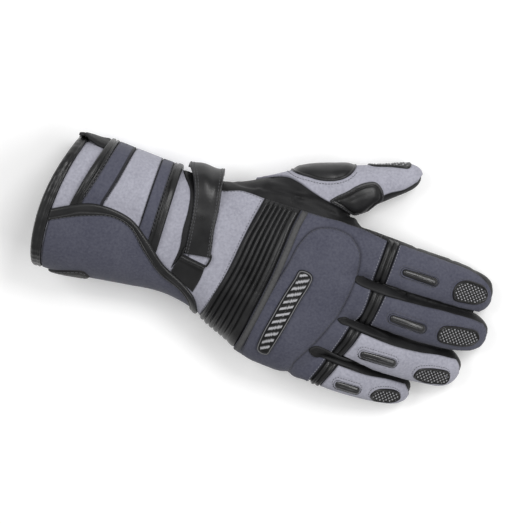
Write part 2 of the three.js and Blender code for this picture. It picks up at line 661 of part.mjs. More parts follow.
// Thumb: the textile back and the three pads sewn on it
function makeThumb() {
  const webSide = curve([[121, 58], [135, 66], [152, 71], [170, 67.5], [182, 65.3]]);
  const palmSide = [[197, 65], [207, 70], [219, 84], [230, 92.5], [236, 99], [235, 103]];
  add("thumb_back", "greyTextile", cover([...webSide, ...palmSide, [245, 125], [121, 100]], { lowest: 8 }));
  const onBack = (thick) => ({ low: second, high: second + thick, lowest: 12 });
  const knucklePad = [[150, 78.5], [165, 75.7], [182, 79], [190, 84], [193.5, 91], [191, 110], [150, 100]];
  add("thumb_knuckle_pad", "blackLeather", cover(knucklePad, onBack(2.2)));
  const sidePad = [[184.5, 67], [193, 76], [203, 86], [211, 88], [217, 83], [212, 76], [202, 66]];
  add("thumb_side_pad", "blackLeather", cover(sidePad, onBack(1.6)));
  const tipPad = [[200, 99], [208, 98.7], [222, 103], [229, 106], [226, 125], [198, 110]];
  add("thumb_tip_pad", "blackRubber", cover(tipPad, onBack(1.2)));
}

makeShells();
makeCuff();
makeWrist();
makeHand();
makeFingers();
makeThumb();

export default glove;
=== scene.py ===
import json
import math
from functools import partial
import bpy
import mathutils
import numpy as np
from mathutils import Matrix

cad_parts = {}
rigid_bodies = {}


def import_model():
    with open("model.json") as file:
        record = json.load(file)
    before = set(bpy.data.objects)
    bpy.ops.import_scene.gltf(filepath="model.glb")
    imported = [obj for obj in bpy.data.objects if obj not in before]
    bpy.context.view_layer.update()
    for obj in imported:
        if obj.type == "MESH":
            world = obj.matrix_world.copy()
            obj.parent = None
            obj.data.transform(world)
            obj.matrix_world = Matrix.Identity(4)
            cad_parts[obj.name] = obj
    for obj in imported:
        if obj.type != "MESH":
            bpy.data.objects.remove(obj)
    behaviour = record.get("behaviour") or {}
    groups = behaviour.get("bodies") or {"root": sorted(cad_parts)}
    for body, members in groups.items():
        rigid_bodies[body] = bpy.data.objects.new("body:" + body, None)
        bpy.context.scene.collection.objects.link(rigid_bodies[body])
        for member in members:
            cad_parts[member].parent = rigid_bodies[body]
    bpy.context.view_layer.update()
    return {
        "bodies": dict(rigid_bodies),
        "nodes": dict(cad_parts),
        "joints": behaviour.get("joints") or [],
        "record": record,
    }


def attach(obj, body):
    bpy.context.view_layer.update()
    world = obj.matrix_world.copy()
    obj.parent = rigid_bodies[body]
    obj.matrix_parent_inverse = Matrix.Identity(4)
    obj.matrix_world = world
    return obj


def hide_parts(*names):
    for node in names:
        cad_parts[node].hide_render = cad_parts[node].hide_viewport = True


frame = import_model()

# Shapes are worked out in millimetres: x from the cuff to the fingertips, y towards the thumb and
# z up from the floor. A mesh is moved to the frame's origin and made metres as it is built.
frameOrigin = np.array([158.6, 25.3, 0.0])
wall = 2.2  # leather or cloth with its lining

# Outlines on the back of the hand are drawn as [along, across], seen from a little to the thumb
# side: along is x, and across is y at the view height
lean = math.radians(12)
viewHeight = 30.0
towardsEye = np.array([0.0, math.sin(lean), math.cos(lean)])
acrossView = np.array([0.0, math.cos(lean), -math.sin(lean)])

bodyTable = {
    "at": [-1, 20, 45, 70, 90, 105, 120, 136, 152, 172, 196, 226],
    "y": [1.9, 4.4, 6.2, 7.7, 9, 9.4, 8.6, 5, 2.7, 0.8, 1.2, 1.5],
    "top": [66, 65, 62, 57.5, 53, 51, 51, 50.5, 50, 49.5, 48.5, 46.5],
    "bottom": [-4, -4, -4, -4, -3.5, -3.5, -3.5, -3, -1.5, 1.5, 7, 12.5],
    "wide": [45.5, 47.8, 45.9, 43.6, 42.4, 43.4, 46, 49.4, 52.1, 55.6, 57.6, 57.6],
    "boxy": [2.4, 2.4, 2.4, 2.4, 2.4, 2.4, 2.5, 2.6, 2.7, 2.8, 2.9, 3],
    "thumbEdge": [7, 3, 0, 0, 0, 0, 0, 0, -1, -3, -4, -4],
    "littleEdge": [6, 2, 0, 0, 0, 0, 0, -2, -6, -14, -19, -19],
}
fingerTable = {
    "at": [0, 0.3, 0.55, 0.78, 1],
    "wide": [0.97, 1, 1, 0.98, 0.92],
    "thick": [1, 1, 0.98, 0.92, 0.82],
    "fall": [0, -0.03, 0.12, 0.52, 1],
}
fingers = {
    "index": {"x": [209, 313.4], "y": [42.6, 38.6], "z": [31, 4.4], "size": [14.9, 13], "roll": -4},
    "middle": {"x": [209, 319.6], "y": [12.1, 10], "z": [33.5, 4.2], "size": [14.2, 13], "roll": 8},
    "ring": {"x": [208, 310.6], "y": [-18.1, -19.5], "z": [31.5, 4.4], "size": [13.5, 13], "roll": 17},
    "little": {"x": [199, 282.8], "y": [-45.4, -45.6], "z": [27, 3.4], "size": [11.4, 11.6], "roll": 14},
}
thumbTable = {
    "at": [0, 19, 37.5, 61, 83, 104, 123, 141],
    "x": [118, 134, 150, 170, 189, 207, 223, 237.6],
    "y": [34, 43.7, 52.4, 64.2, 74.4, 84.6, 94, 103.3],
    "z": [24, 23.5, 22.5, 21, 19.5, 17, 13, 8.8],
    "wide": [15.5, 17.2, 18, 18.4, 16.2, 13.4, 10.2, 8.8],
    "thick": [17, 18.5, 18.4, 17.4, 15.8, 14, 12, 10.4],
}
domePower = 2.3
cuffSeat = 1.9  # the cuff's binding lifts the wall off the floor by this
fillets = {"body": 6.0, "thumb": 9.0, "finger": 1.6}  # how wide each limb runs into the others

# How a line of sight is followed down to the glove, in millimetres: the height that it starts from,
# its most steps, the least step, and the distances at which it has arrived and has missed
sight = {"start": 78, "steps": 40, "step": 0.25, "arrived": 0.02, "missed": 0.03}


# A smooth curve through values at stations: cubic pieces whose slope at a station is the mean of
# the slopes on its two sides
def smoothThrough(stations, values, at):
    stations = np.asarray(stations, float)
    values = np.asarray(values, float)
    slopes = np.diff(values) / np.diff(stations)
    tangents = np.concatenate([slopes[:1], (slopes[1:] + slopes[:-1]) / 2, slopes[-1:]])
    index = np.clip(np.searchsorted(stations, at) - 1, 0, len(stations) - 2)
    span = np.diff(stations)[index]
    t = np.clip((at - stations[index]) / span, 0, 1)
    return (
        (2 * t**3 - 3 * t**2 + 1) * values[index]
        + (t**3 - 2 * t**2 + t) * span * tangents[index]
        + (3 * t**2 - 2 * t**3) * values[index + 1]
        + (t**3 - t**2) * span * tangents[index + 1]
    )


# From 0 to 1 between two values, level at both ends: 3t^2 - 2t^3
def smoothStep(low, high, value):
    t = np.clip((value - low) / (high - low), 0, 1)
    return t * t * (3 - 2 * t)


# A bump of 1 at a place: exp(-((value - at) / wide)^2)
def bell(value, at=0.0, wide=1.0):
    return np.exp(-(((value - at) / wide) ** 2))


# A value to a power, with its sign kept
def signedPower(value, power):
    return np.sign(value) * np.abs(value) ** power


# Vectors over their lengths
def unit(vectors):
    return vectors / np.maximum(np.linalg.norm(vectors, axis=-1, keepdims=True), 1e-9)


# How far each point lies along its line, or along its grid's rows (axis 0) or columns (axis 1)
def runOf(points, axis=0):
    steps = np.diff(points, axis=axis, prepend=np.take(points, [0], axis))
    return np.cumsum(np.linalg.norm(steps, axis=-1), axis=axis)


# Values at places along a run, in straight lines between its points
def valuesAt(wanted, run, values):
    return np.stack([np.interp(wanted, run, column) for column in values.T], axis=1)


# Where points are seen in the view: [x, y cos(lean) - (z - viewHeight) sin(lean)]
def seenAt(points):
    across = points[..., 1] * math.cos(lean) - (points[..., 2] - viewHeight) * math.sin(lean)
    return np.stack([points[..., 0], across], axis=-1)


# A limb is a row of sections a half millimetre apart. Its columns are the middle (3), the side
# direction (3), the up direction (3), the forward direction (3), the half width, the half
# thickness, the power of the section's rounded square, the two edge shifts and the speed
def makeLimb(at, middle, sideways, wide, thick, boxy, end, dome, rear, edges=None, straight=False):
    pace = np.gradient(middle, at, axis=0)
    forward = np.tile([1.0, 0, 0], (len(at), 1)) if straight else unit(pace)
    side = unit(sideways - forward * np.sum(sideways * forward, axis=1, keepdims=True))
    up = np.cross(forward, side)
    speed = np.ones(len(at)) if straight else np.linalg.norm(pace, axis=1)
    edges = np.zeros((len(at), 2)) if edges is None else edges
    sizes = np.stack([wide, thick, boxy], axis=1)
    rows = np.concatenate([middle, side, up, forward, sizes, edges, speed[:, None]], axis=1)
    reach = np.stack([wide, thick], axis=1).max() + 4
    return {
        "rows": rows,
        "first": at[0],
        "step": at[1] - at[0],
        "end": end,
        "dome": dome,
        "rear": rear,
        "straight": straight,
        "low": middle.min(axis=0) - reach,
        "high": middle.max(axis=0) + reach,
    }


# The hand and the cuff as one limb along x
def makeBody():
    at = np.arange(-30, 250, 0.5)
    read = {key: smoothThrough(bodyTable["at"], bodyTable[key], at) for key in bodyTable}
    middle = np.stack([at, read["y"], (read["top"] + read["bottom"]) / 2], axis=1)
    sideways = np.tile([0.0, 1, 0], (len(at), 1))
    thick = (read["top"] - read["bottom"]) / 2
    edges = np.stack([read["thumbEdge"], read["littleEdge"]], axis=1)
    return makeLimb(at, middle, sideways, read["wide"], thick, read["boxy"], 226, 20, -200, edges, True)


# A finger runs straight from root to tip in plan, and goes down by the shares in `fall`
def makeFinger(finger):
    root, tip = finger["x"]
    at = np.arange(root - 20, tip + 20, 0.5)
    share = (at - root) / (tip - root)
    read = {key: smoothThrough(fingerTable["at"], fingerTable[key], share) for key in fingerTable}
    y = finger["y"][0] + (finger["y"][1] - finger["y"][0]) * share
    z = finger["z"][0] + (finger["z"][1] - finger["z"][0]) * read["fall"]
    roll = math.radians(finger["roll"])
    sideways = np.tile([0.0, math.cos(roll), math.sin(roll)], (len(at), 1))
    wide = finger["size"][0] * read["wide"]
    thick = finger["size"][1] * read["thick"]
    boxy = np.full(len(at), 2.9)
    return makeLimb(at, np.stack([at, y, z], axis=1), sideways, wide, thick, boxy, tip, 15, root + 8)


# The thumb follows a smooth curve in space, and goes on straight past both its ends
def makeThumb():
    at = np.arange(-20, 161, 0.5)
    inside = np.clip(at, 0, 141)
    read = {key: smoothThrough(thumbTable["at"], thumbTable[key], inside) for key in thumbTable}
    middle = np.stack([read["x"], read["y"], read["z"]], axis=1)
    beyond = (at - inside)[:, None]
    first, last = middle[42] - middle[40], middle[320] - middle[318]
    middle = middle + np.where(beyond < 0, beyond * first, beyond * last)
    forward = unit(np.gradient(middle, axis=0))
    sideways = np.cross([0.0, 0, 1], forward)
    boxy = np.full(len(at), 2.3)
    return makeLimb(at, middle, sideways, read["wide"], read["thick"], boxy, 141, 17, 12)


body = makeBody()
fingerLimbs = {name: makeFinger(finger) for name, finger in fingers.items()}
thumb = makeThumb()
wholeGlove = [*fingerLimbs.values(), body, thumb]


# A limb's section at each station: a straight mix of the rows before and after it
def sectionsAt(limb, at):
    place = np.clip((at - limb["first"]) / limb["step"], 0, len(limb["rows"]) - 1.001)
    index = place.astype(int)
    share = (place - index)[:, None]
    return limb["rows"][index] * (1 - share) + limb["rows"][index + 1] * share


# How far the wall stands off the floor: cuffSeat at the cuff's edge, nothing from 14 mm on
def seatAt(along):
    return cuffSeat * (1 - smoothStep(6, 14, along))


# Point of a limb at a station and an angle, `lift` outside its wall. The section is a rounded
# square, |a / wide|^n + |b / thick|^n = 1, that closes in a dome at the tip. The angle, in degrees,
# runs from the thumb side (0) over the back (90) to the little-finger side (180) and the palm
def limbPlace(limb, at, angle, lift=0.0):
    at, angle, lift = np.broadcast_arrays(np.asarray(at, float), angle, lift)
    shape = at.shape
    at, angle, lift = at.ravel(), np.radians(angle.ravel()), lift.ravel()
    domeStart = limb["end"] - limb["dome"]
    into = np.clip((at - domeStart) / (limb["dome"] + lift), 0, 0.999)
    closing = (1 - into**domePower) ** (1 / domePower)
    rows = sectionsAt(limb, np.minimum(at, limb["end"]))
    power = 2 / rows[:, 14]
    c, s = np.cos(angle), np.sin(angle)
    outwards = (rows[:, 12] + lift) * signedPower(c, power) * closing
    upwards = (rows[:, 13] + lift) * signedPower(s, power) * closing
    points = rows[:, 0:3] + rows[:, 3:6] * outwards[:, None] + rows[:, 6:9] * upwards[:, None]
    t = outwards / (rows[:, 12] + lift)
    points[:, 0] += np.maximum(0, at - limb["end"]) + t * t * np.where(t > 0, rows[:, 15], rows[:, 16])
    floor = np.maximum(0, np.where(at < 14, seatAt(at), 0) - lift)
    points[:, 2] = np.maximum(points[:, 2], floor if limb is body else 0)
    return points.reshape(shape + (3,))


# Distance from a limb's surface, below 0 inside: how far the section's formula is from 1, over the
# length of its slope
def limbDistance(limb, points):
    if limb["straight"]:
        at = points[:, 0]
        for _ in range(2):
            rows = sectionsAt(limb, at)
            t = np.clip((points[:, 1] - rows[:, 1]) / rows[:, 12], -1, 1)
            at = points[:, 0] - t * t * np.where(t > 0, rows[:, 15], rows[:, 16])
    else:
        ends = limb["rows"][[0, -1], 0:3]
        line = ends[1] - ends[0]
        along = (points - ends[0]) @ line / (line @ line)
        at = limb["first"] + along * (len(limb["rows"]) - 1) * limb["step"]
        for _ in range(3):
            rows = sectionsAt(limb, at)
            at = at + np.sum((points - rows[:, 0:3]) * rows[:, 9:12], axis=1) / rows[:, 17]
    rows = sectionsAt(limb, at)
    offset = points - rows[:, 0:3]
    n = rows[:, 14]
    a = np.abs(np.sum(offset * rows[:, 3:6], axis=1)) / rows[:, 12] + 1e-6
    b = np.abs(np.sum(offset * rows[:, 6:9], axis=1)) / rows[:, 13] + 1e-6
    logA, logB = np.log(a), np.log(b)
    r = (np.exp(n * logA) + np.exp(n * logB)) ** (1 / n)
    slope = np.exp((1 - n) * np.log(r)) * np.hypot(
        np.exp((n - 1) * logA) / rows[:, 12], np.exp((n - 1) * logB) / rows[:, 13]
    )
    rearDome = 10.0
    front = np.maximum(0, (at - limb["end"] + limb["dome"]) / limb["dome"])
    back = np.maximum(0, (limb["rear"] - at) / rearDome)
    t = np.maximum(front, back)
    q = (r**domePower + t**domePower) ** (1 / domePower)
    length = np.where(front > 0, limb["dome"], rearDome)
    slope = np.hypot((r / q) ** (domePower - 1) * slope, (t / q) ** (domePower - 1) / length)
    return (q - 1) / slope


# Distance from the whole glove. Limbs run into each other with a fillet of the given size:
# the smaller distance, less h^2 k / 4 where the two differ by less than k
def gloveDistance(points, limbs=None):
    total = None
    for limb in limbs or wholeGlove:
        outside = np.maximum(limb["low"] - points, points - limb["high"])
        value = np.linalg.norm(np.maximum(outside, 0), axis=1)
        near = value < 8
        value = value + 4
        if near.any():
            value[near] = limbDistance(limb, points[near])
        if total is None:
            total = value
            continue
        fillet = fillets["body" if limb is body else "thumb" if limb is thumb else "finger"]
        h = np.maximum(fillet - np.abs(total - value), 0) / fillet
        total = np.minimum(total, value) - h * h * fillet / 4
    return np.maximum(total, seatAt(points[:, 0]) - points[:, 2])


# The distance and its slope: the change over a short step along each axis, over the step
def gloveSlope(points, limbs=None):
    step = 0.15
    middle = gloveDistance(points, limbs)
    slope = [(gloveDistance(points + step * axis, limbs) - middle) / step for axis in np.eye(3)]
    return middle, np.stack(slope, axis=1)


# Moves points onto the surface, down the slope of the distance
def settle(points, limbs=None, rounds=3):
    for _ in range(rounds):
        distance, slope = gloveSlope(points, limbs)
        length = np.maximum(np.sum(slope * slope, axis=1), 0.05)
        points = points - slope * np.clip(distance / length, -4, 4)[:, None]
    return points, unit(gloveSlope(points, limbs)[1])


# Slides points along the line of sight to where the glove is nearest: the lowest point of the
# parabola through the distances a step before, here and a step after, with smaller and smaller steps
def closestOnSight(points, limbs):
    for step in (1.6, 0.8, 0.4, 0.2):
        before, here, after = (gloveDistance(points + step * k * towardsEye, limbs) for k in (-1, 0, 1))
        bend = np.maximum(before - 2 * here + after, 1e-3)
        points = points + towardsEye * np.clip(step * (before - after) / (2 * bend), -step, step)[:, None]
    return points, gloveDistance(points, limbs)


# Surface points and normals under places of the view. Each starts above the glove and steps down
# the line of sight by its distance. One that misses goes on round the side, as far down as
# `wrap` times the miss
def underView(places, limbs=None, wrap=2.6):
    shape = places.shape[:-1]
    flat = places.reshape(-1, 2)
    start = (sight["start"] - viewHeight + flat[:, 1] * math.sin(lean)) / math.cos(lean)
    points = flat[:, :1] * [1.0, 0, 0] + flat[:, 1:] * acrossView + start[:, None] * towardsEye
    points[:, 2] += viewHeight
    best, nearest = points.copy(), np.full(len(points), 1e9)
    for _ in range(sight["steps"]):
        distance = gloveDistance(points, limbs)
        closer = distance < nearest
        best[closer] = points[closer]
        nearest[closer] = distance[closer]
        moving = (nearest > sight["arrived"]) & (points[:, 2] > -5)
        if not moving.any():
            break
        points[moving] -= towardsEye * np.maximum(distance[moving], sight["step"])[:, None]
    beside = nearest > sight["missed"]
    if beside.any():
        best[beside], nearest[beside] = closestOnSight(best[beside], limbs)
    missed = np.maximum(nearest - 0.1, 0)
    best = best - towardsEye * (wrap * missed)[:, None]
    points, normals = settle(best, limbs, 4)
    return points.reshape(shape + (3,)), normals.reshape(shape + (3,))


# The mean of each grid point's four neighbours. Past an open border the grid goes on straight
def neighbourMean(grid, closed):
    rows = np.pad(grid, ((1, 1), (0, 0), (0, 0)), "reflect", reflect_type="odd")
    if closed:
        columns = np.concatenate([grid[:, -1:], grid, grid[:, :1]], axis=1)
    else:
        columns = np.pad(grid, ((0, 0), (1, 1), (0, 0)), "reflect", reflect_type="odd")
    return (rows[:-2] + rows[2:] + columns[:, :-2] + columns[:, 2:]) / 4


# Evens out a grid where it goes on round a side, out of view, or is rough: those points move to
# the mean of their neighbours and then back onto the glove, some times over
def evened(places, points, normals, closed, limbs):
    away = np.linalg.norm(seenAt(points) - places, axis=2) > 0.3
    rough = np.linalg.norm(neighbourMean(points, closed) - points, axis=2) > 0.5
    loose = (away | rough).astype(float)[..., None]
    for _ in range(2):
        loose = np.maximum(loose, neighbourMean(loose, closed) > 0.01)
    loose = loose[..., 0] > 0
    if not loose.any():
        return points, normals
    for _ in range(3):
        for _ in range(14):
            points = np.where(loose[..., None], neighbourMean(points, closed), points)
        points[loose], normals[loose] = settle(points[loose], limbs, 2)
    for _ in range(3):
        points = np.where(loose[..., None], 0.5 * points + 0.5 * neighbourMean(points, closed), points)
        normals = np.where(loose[..., None], unit(normals + neighbourMean(normals, closed)), normals)
    return points, normals


# Surface points and normals at [station, angle] of one limb
def roundLimb(places, limb):
    points = limbPlace(limb, places[..., 0], places[..., 1])
    across = limbPlace(limb, places[..., 0], places[..., 1] + 0.5) - points
    along = limbPlace(limb, places[..., 0] + 0.5, places[..., 1]) - points
    normals = unit(np.cross(along, across))
    outwards = points - sectionsAt(limb, places[..., 0].ravel())[:, 0:3].reshape(points.shape)
    flip = np.sign(np.sum(normals * outwards, axis=-1, keepdims=True))
    return points, normals * np.where(flip == 0, 1, flip)


# Angles on the body where it is seen at [along, across], on its upper side, by halving
def bodyAngles(along, across):
    along, across = np.broadcast_arrays(np.asarray(along, float), np.asarray(across, float))
    low, high = np.full(along.shape, -12.0), np.full(along.shape, 186.0)
    for _ in range(24):
        middle = (low + high) / 2
        points = limbPlace(body, along, middle)
        points = limbPlace(body, 2 * along - points[..., 0], middle)
        seen = seenAt(points)[..., 1]
        low = np.where(seen > across, middle, low)
        high = np.where(seen > across, high, middle)
    return (low + high) / 2


# Shares from 0 to 1, closer together at the ends where `gather` is above 0:
# (1 - gather) s + gather (1 - cos(pi s)) / 2
def spaced(count, gather, toEnd=True):
    share = np.linspace(0, 1, count, endpoint=toEnd)
    return (1 - gather) * share + gather * (0.5 - 0.5 * np.cos(math.pi * share))


# Points along a smooth curve through a few places, spaced evenly or gathered at the ends
def curveThrough(places, count, gather=0.0, closed=False):
    places = np.asarray(places, float)
    if closed:
        places = np.concatenate([places[-2:], places, places[:3]])
    run = runOf(places)
    ends = (run[2], run[-3]) if closed else (0, run[-1])
    fine = np.linspace(*ends, 600)
    path = np.stack([smoothThrough(run, column, fine) for column in places.T], axis=1)
    arc = runOf(path)
    return valuesAt(spaced(count, gather, not closed) * arc[-1], arc, path)


# Grid between two curves, in straight lines from one to the other
def ruledGrid(first, second, columns, gather=0.75):
    share = spaced(columns, gather)[None, :, None]
    return first[:, None] * (1 - share) + second[:, None] * share


# Grid inside four curves that share their corners: the sum of the two ruled grids, less the grid
# between the corners (a Coons patch)
def fourSided(sides, rows, columns):
    rear, front = (curveThrough(sides[key], columns, 0.6) for key in ("rear", "front"))
    low, high = (curveThrough(sides[key], rows, 0.6) for key in ("low", "high"))
    s = np.linspace(0, 1, rows)[:, None, None]
    t = np.linspace(0, 1, columns)[None, :, None]
    across = rear[None] * (1 - s) + front[None] * s
    along = low[:, None] * (1 - t) + high[:, None] * t
    corners = (low[0] * (1 - t) + high[0] * t) * (1 - s) + (low[-1] * (1 - t) + high[-1] * t) * s
    return across + along - corners


# Grid of rings inside a closed outline: each place of it drawn towards the middle, which is one
# place or one for each place of the outline
def ringGrid(outline, rings, middle=None, inner=0.03):
    middle = outline.mean(axis=0) if middle is None else np.asarray(middle, float)
    share = inner + (1 - inner) * (1 - (1 - np.linspace(0, 1, rings)) ** 1.6)
    return middle + (outline - middle)[None] * share[:, None, None]


# A closed line with round ends, `half` away from the line between two places, and the place of
# that line nearest to each of its points
def roundedBar(first, last, half, count):
    first, last = np.asarray(first, float), np.asarray(last, float)
    along = unit(last - first)
    across = np.array([-along[1], along[0]])
    turn = np.linspace(-math.pi / 2, math.pi / 2, 24)[:, None]
    cap = half * (np.cos(turn) * along + np.sin(turn) * across)
    line = np.concatenate([last + cap, first - cap, (last + cap)[:1]])
    arc = runOf(line)
    outline = valuesAt(np.linspace(0, arc[-1], count, endpoint=False), arc, line)
    run = np.clip((outline - first) @ along, 0.02 * half, np.linalg.norm(last - first) - 0.02 * half)
    return outline, first + run[:, None] * along


# A closed outline moved outwards by a distance
def outsideOf(outline, distance):
    pace = np.roll(outline, -1, axis=0) - np.roll(outline, 1, axis=0)
    outwards = unit(np.stack([pace[:, 1], -pace[:, 0]], axis=1))
    if np.sum(outwards * (outline - outline.mean(axis=0))) < 0:
        outwards = -outwards
    return outline + distance * outwards


# A grid's border, once round and back to its start: the last row alone where the grid is closed
def borderOf(grid, closed):
    if closed:
        return np.concatenate([grid[-1], grid[-1][:1]])
    return np.concatenate([grid[0], grid[1:, -1], grid[-1, -2::-1], grid[-2::-1, 0]])


# Distance of places from a line, in the view or in space: the least of those to its straight
# stretches, worked out for some thousands of places at a time
def lineDistance(places, line):
    line = np.asarray(line, float)
    start, step = line[:-1], np.diff(line, axis=0)
    square = np.maximum(np.sum(step * step, axis=1), 1e-9)
    flat = places.reshape(-1, line.shape[1])
    nearest = np.empty(len(flat))
    for first in range(0, len(flat), 3000):
        offset = flat[first:first + 3000, None] - start
        t = np.clip(np.sum(offset * step, axis=2) / square, 0, 1)
        offset -= t[..., None] * step
        nearest[first:first + 3000] = np.sqrt(np.sum(offset * offset, axis=2).min(axis=1))
    return nearest.reshape(places.shape[:-1])


# Height over a piece with a rounded edge: a quarter circle of the given radius up from `low`
def roundedEdge(distance, low, high, radius):
    share = np.clip(distance / radius, 0, 1)
    return low + (high - low) * np.sqrt(1 - (1 - share) ** 2)


# Quads of a grid of points, numbered row by row. A closed grid joins its last column to its first,
# and a joined one its last row to its first too
def gridQuads(rows, columns, closed=False, joined=False):
    i = np.arange(rows if joined else rows - 1)[:, None]
    j = np.arange(columns if closed else columns - 1)[None]
    below, beside = (i + 1) % rows, (j + 1) % columns
    quads = [i * columns + j, below * columns + j, below * columns + beside, i * columns + beside]
    return np.stack(np.broadcast_arrays(*quads), axis=-1).reshape(-1, 4)


# Triangles from a point to the stretches of a ring
def fanFrom(pole, ring):
    return np.stack([np.full(len(ring), pole), ring, np.roll(ring, -1)], axis=1)


# Faces, turned round where one quad of them looks against the normal at its first corner
def facedOut(faces, quad, points, normals):
    a, b, c, d = points.reshape(-1, 3)[quad]
    inwards = np.dot(np.cross(c - a, d - b), normals.reshape(-1, 3)[quad[0]]) < 0
    return [group[:, ::-1] for group in faces] if inwards else faces


# The quads of a shell, turned round where the volume inside comes out below 0
def shellFacedOut(points, quads):
    a, b, c, d = (points[quads[:, k]] for k in range(4))
    volume = np.sum(np.cross(a, b) * c) + np.sum(np.cross(a, c) * d)
    return quads if volume > 0 else quads[:, ::-1]


# A mesh from points and groups of faces, in metres from the frame's origin. `corners` are places on
# the cloth for the weave, and each layer is a number for each point
def meshFrom(name, points, faces, corners=None, layers=None):
    mesh = bpy.data.meshes.new(name)
    scaled = (points - frameOrigin) * 0.001
    mesh.vertices.add(len(points))
    mesh.vertices.foreach_set("co", scaled.ravel())
    sizes = np.concatenate([np.full(len(group), group.shape[1]) for group in faces])
    loops = np.concatenate([group.ravel() for group in faces])
    mesh.loops.add(len(loops))
    mesh.loops.foreach_set("vertex_index", loops.astype(np.int32))
    mesh.polygons.add(len(sizes))
    starts = np.concatenate([[0], np.cumsum(sizes)[:-1]])
    mesh.polygons.foreach_set("loop_start", starts.astype(np.int32))
    mesh.polygons.foreach_set("use_smooth", np.ones(len(sizes), bool))
    if corners is not None:
        uv = mesh.uv_layers.new(name="weave")
        uv.data.foreach_set("uv", corners[loops].astype(np.float32).ravel())
    for layer, values in (layers or {}).items():
        mesh.attributes.new(layer, "FLOAT", "POINT").data.foreach_set("value", values.astype(np.float32))
    mesh.update(calc_edges=True)
    mesh.validate()
    return mesh


# Adds an object to the scene
def addObject(name, data):
    added = bpy.data.objects.new(name, data)
    bpy.context.scene.collection.objects.link(added)
    return added


# Adds a piece to the glove's one body, with the CAD nodes that it replaces
def addPiece(name, mesh, finish, nodes):
    piece = addObject(name, mesh)
    mesh.materials.append(finish)
    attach(piece, "root")
    if nodes:
        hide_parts(*nodes)
    return piece


# The top points and normals of every sheet, kept for the stitches on it
tops = {}


# A closed sheet: the base grid raised along its normals to a top and a bottom height, with a
# narrow wall round its border. A closed grid is joined round, with a point at its middle and fewer
# rings below, where nothing shows
def raisedSheet(name, base, normals, top, bottom, finish, nodes, closed=False, shade=0.0):
    rows, columns = base.shape[:2]
    count = rows * columns
    over = base + normals * top[..., None]
    under = base + normals * np.broadcast_to(bottom, top.shape)[..., None]
    over[..., 2] = np.maximum(over[..., 2], 0.05)
    under[..., 2] = np.maximum(under[..., 2], 0.05)
    kept = np.unique(np.linspace(0, rows - 1, 7).astype(int)) if closed else np.arange(rows)
    under = under[kept]
    points = np.concatenate([over.reshape(-1, 3), under.reshape(-1, 3)])
    quads = gridQuads(rows, columns, closed)
    lowQuads = gridQuads(len(kept), columns, closed)[:, ::-1] + count
    border = borderOf(np.arange(count).reshape(rows, columns), closed)
    if closed:
        border = border[::-1]
    below = border + count - (rows - len(kept)) * columns
    walls = np.stack([border[:-1], border[1:], below[1:], below[:-1]], axis=1)
    faces = [quads, lowQuads, walls]
    corners = base[..., :2] if closed else np.stack([runOf(base, 0), runOf(base, 1)], axis=-1)
    corners = np.concatenate([corners.reshape(-1, 2), corners[kept].reshape(-1, 2)])
    edge = lineDistance(base, borderOf(base, closed))
    edge = np.concatenate([edge.ravel(), edge[kept].ravel()])
    shade = np.concatenate([np.broadcast_to(shade, top.shape).ravel(), np.zeros(len(kept) * columns)])
    tops[name] = over, normals
    if closed:
        poles = np.stack([over[0].mean(axis=0), under[0].mean(axis=0)])
        pole, ring = len(points), np.arange(columns)
        points = np.concatenate([points, poles])
        faces += [fanFrom(pole, ring), fanFrom(pole + 1, ring + count)[:, [0, 2, 1]]]
        corners = np.concatenate([corners, poles[:, :2]])
        edge = np.append(edge, [edge.max()] * 2)
        shade = np.append(shade, [shade[:columns].mean(), 0])
    faces = facedOut(faces, quads[len(quads) // 2], over, normals)
    mesh = meshFrom(name, points, faces, corners, {"edge": edge, "shade": shade})
    return addPiece(name, mesh, finish, nodes)


# Small puckers where a cloth is pulled by its seam, dying out within a few millimetres
def puckered(base, distance, seed, depth=0.28):
    return depth * bell(distance, 0, 2.6) * softWaves(base, 4.5, seed)


# A gentle unevenness: the mean of a few sine waves in fixed random directions, from -1 to 1
def softWaves(points, length, seed, count=7):
    random = np.random.default_rng(seed)
    directions = unit(random.normal(size=(count, 3)))
    lengths = length * random.uniform(0.7, 1.5, count)
    phases = random.uniform(0, 2 * math.pi, count)
    waves = np.sin(points @ directions.T * (2 * math.pi / lengths) + phases)
    return waves.sum(axis=-1) / count


# Points and normals on the tops of sheets, under places of the view: the mean of the four nearest
# grid points, each weighed by one over its squared distance
def onTops(names, places):
    over = np.concatenate([tops[name][0].reshape(-1, 3) for name in names])
    normals = np.concatenate([tops[name][1].reshape(-1, 3) for name in names])
    facing = normals @ towardsEye > 0.02
    over, normals = over[facing], normals[facing]
    away = np.sum((places[:, None] - seenAt(over)[None]) ** 2, axis=2)
    near = np.argpartition(away, 4, axis=1)[:, :4]
    weight = 1 / (np.take_along_axis(away, near, axis=1) + 1e-4)
    weight = (weight / weight.sum(axis=1, keepdims=True))[..., None]
    return np.sum(over[near] * weight, axis=1), unit(np.sum(normals[near] * weight, axis=1))


# The line on a sheet's top a distance inside a border: 0 the first row of its places, 1 the last
# row, 2 the first column and 3 the last column. It runs between two shares of the border's points
def insideBorder(name, side, inset, first=0.0, last=1.0):
    over, normals = tops[name]
    if side > 1:
        over, normals = over.swapaxes(0, 1), normals.swapaxes(0, 1)
    if side % 2:
        over, normals = over[::-1], normals[::-1]
    away = runOf(over)
    index = np.clip(np.sum(away < inset, axis=0), 1, len(away) - 1)
    column = np.arange(over.shape[1])
    low, high = away[index - 1, column], away[index, column]
    share = np.clip((inset - low) / np.maximum(high - low, 1e-6), 0, 1)[:, None]
    places = over[index - 1, column] * (1 - share) + over[index, column] * share
    part = slice(int(first * len(column)), int(last * len(column)))
    return places[part], unit(normals[index - 1, column])[part]


# A line's points and normals with the first ones once more at the end
def closedLine(line):
    return tuple(np.concatenate([part, part[:1]]) for part in line)


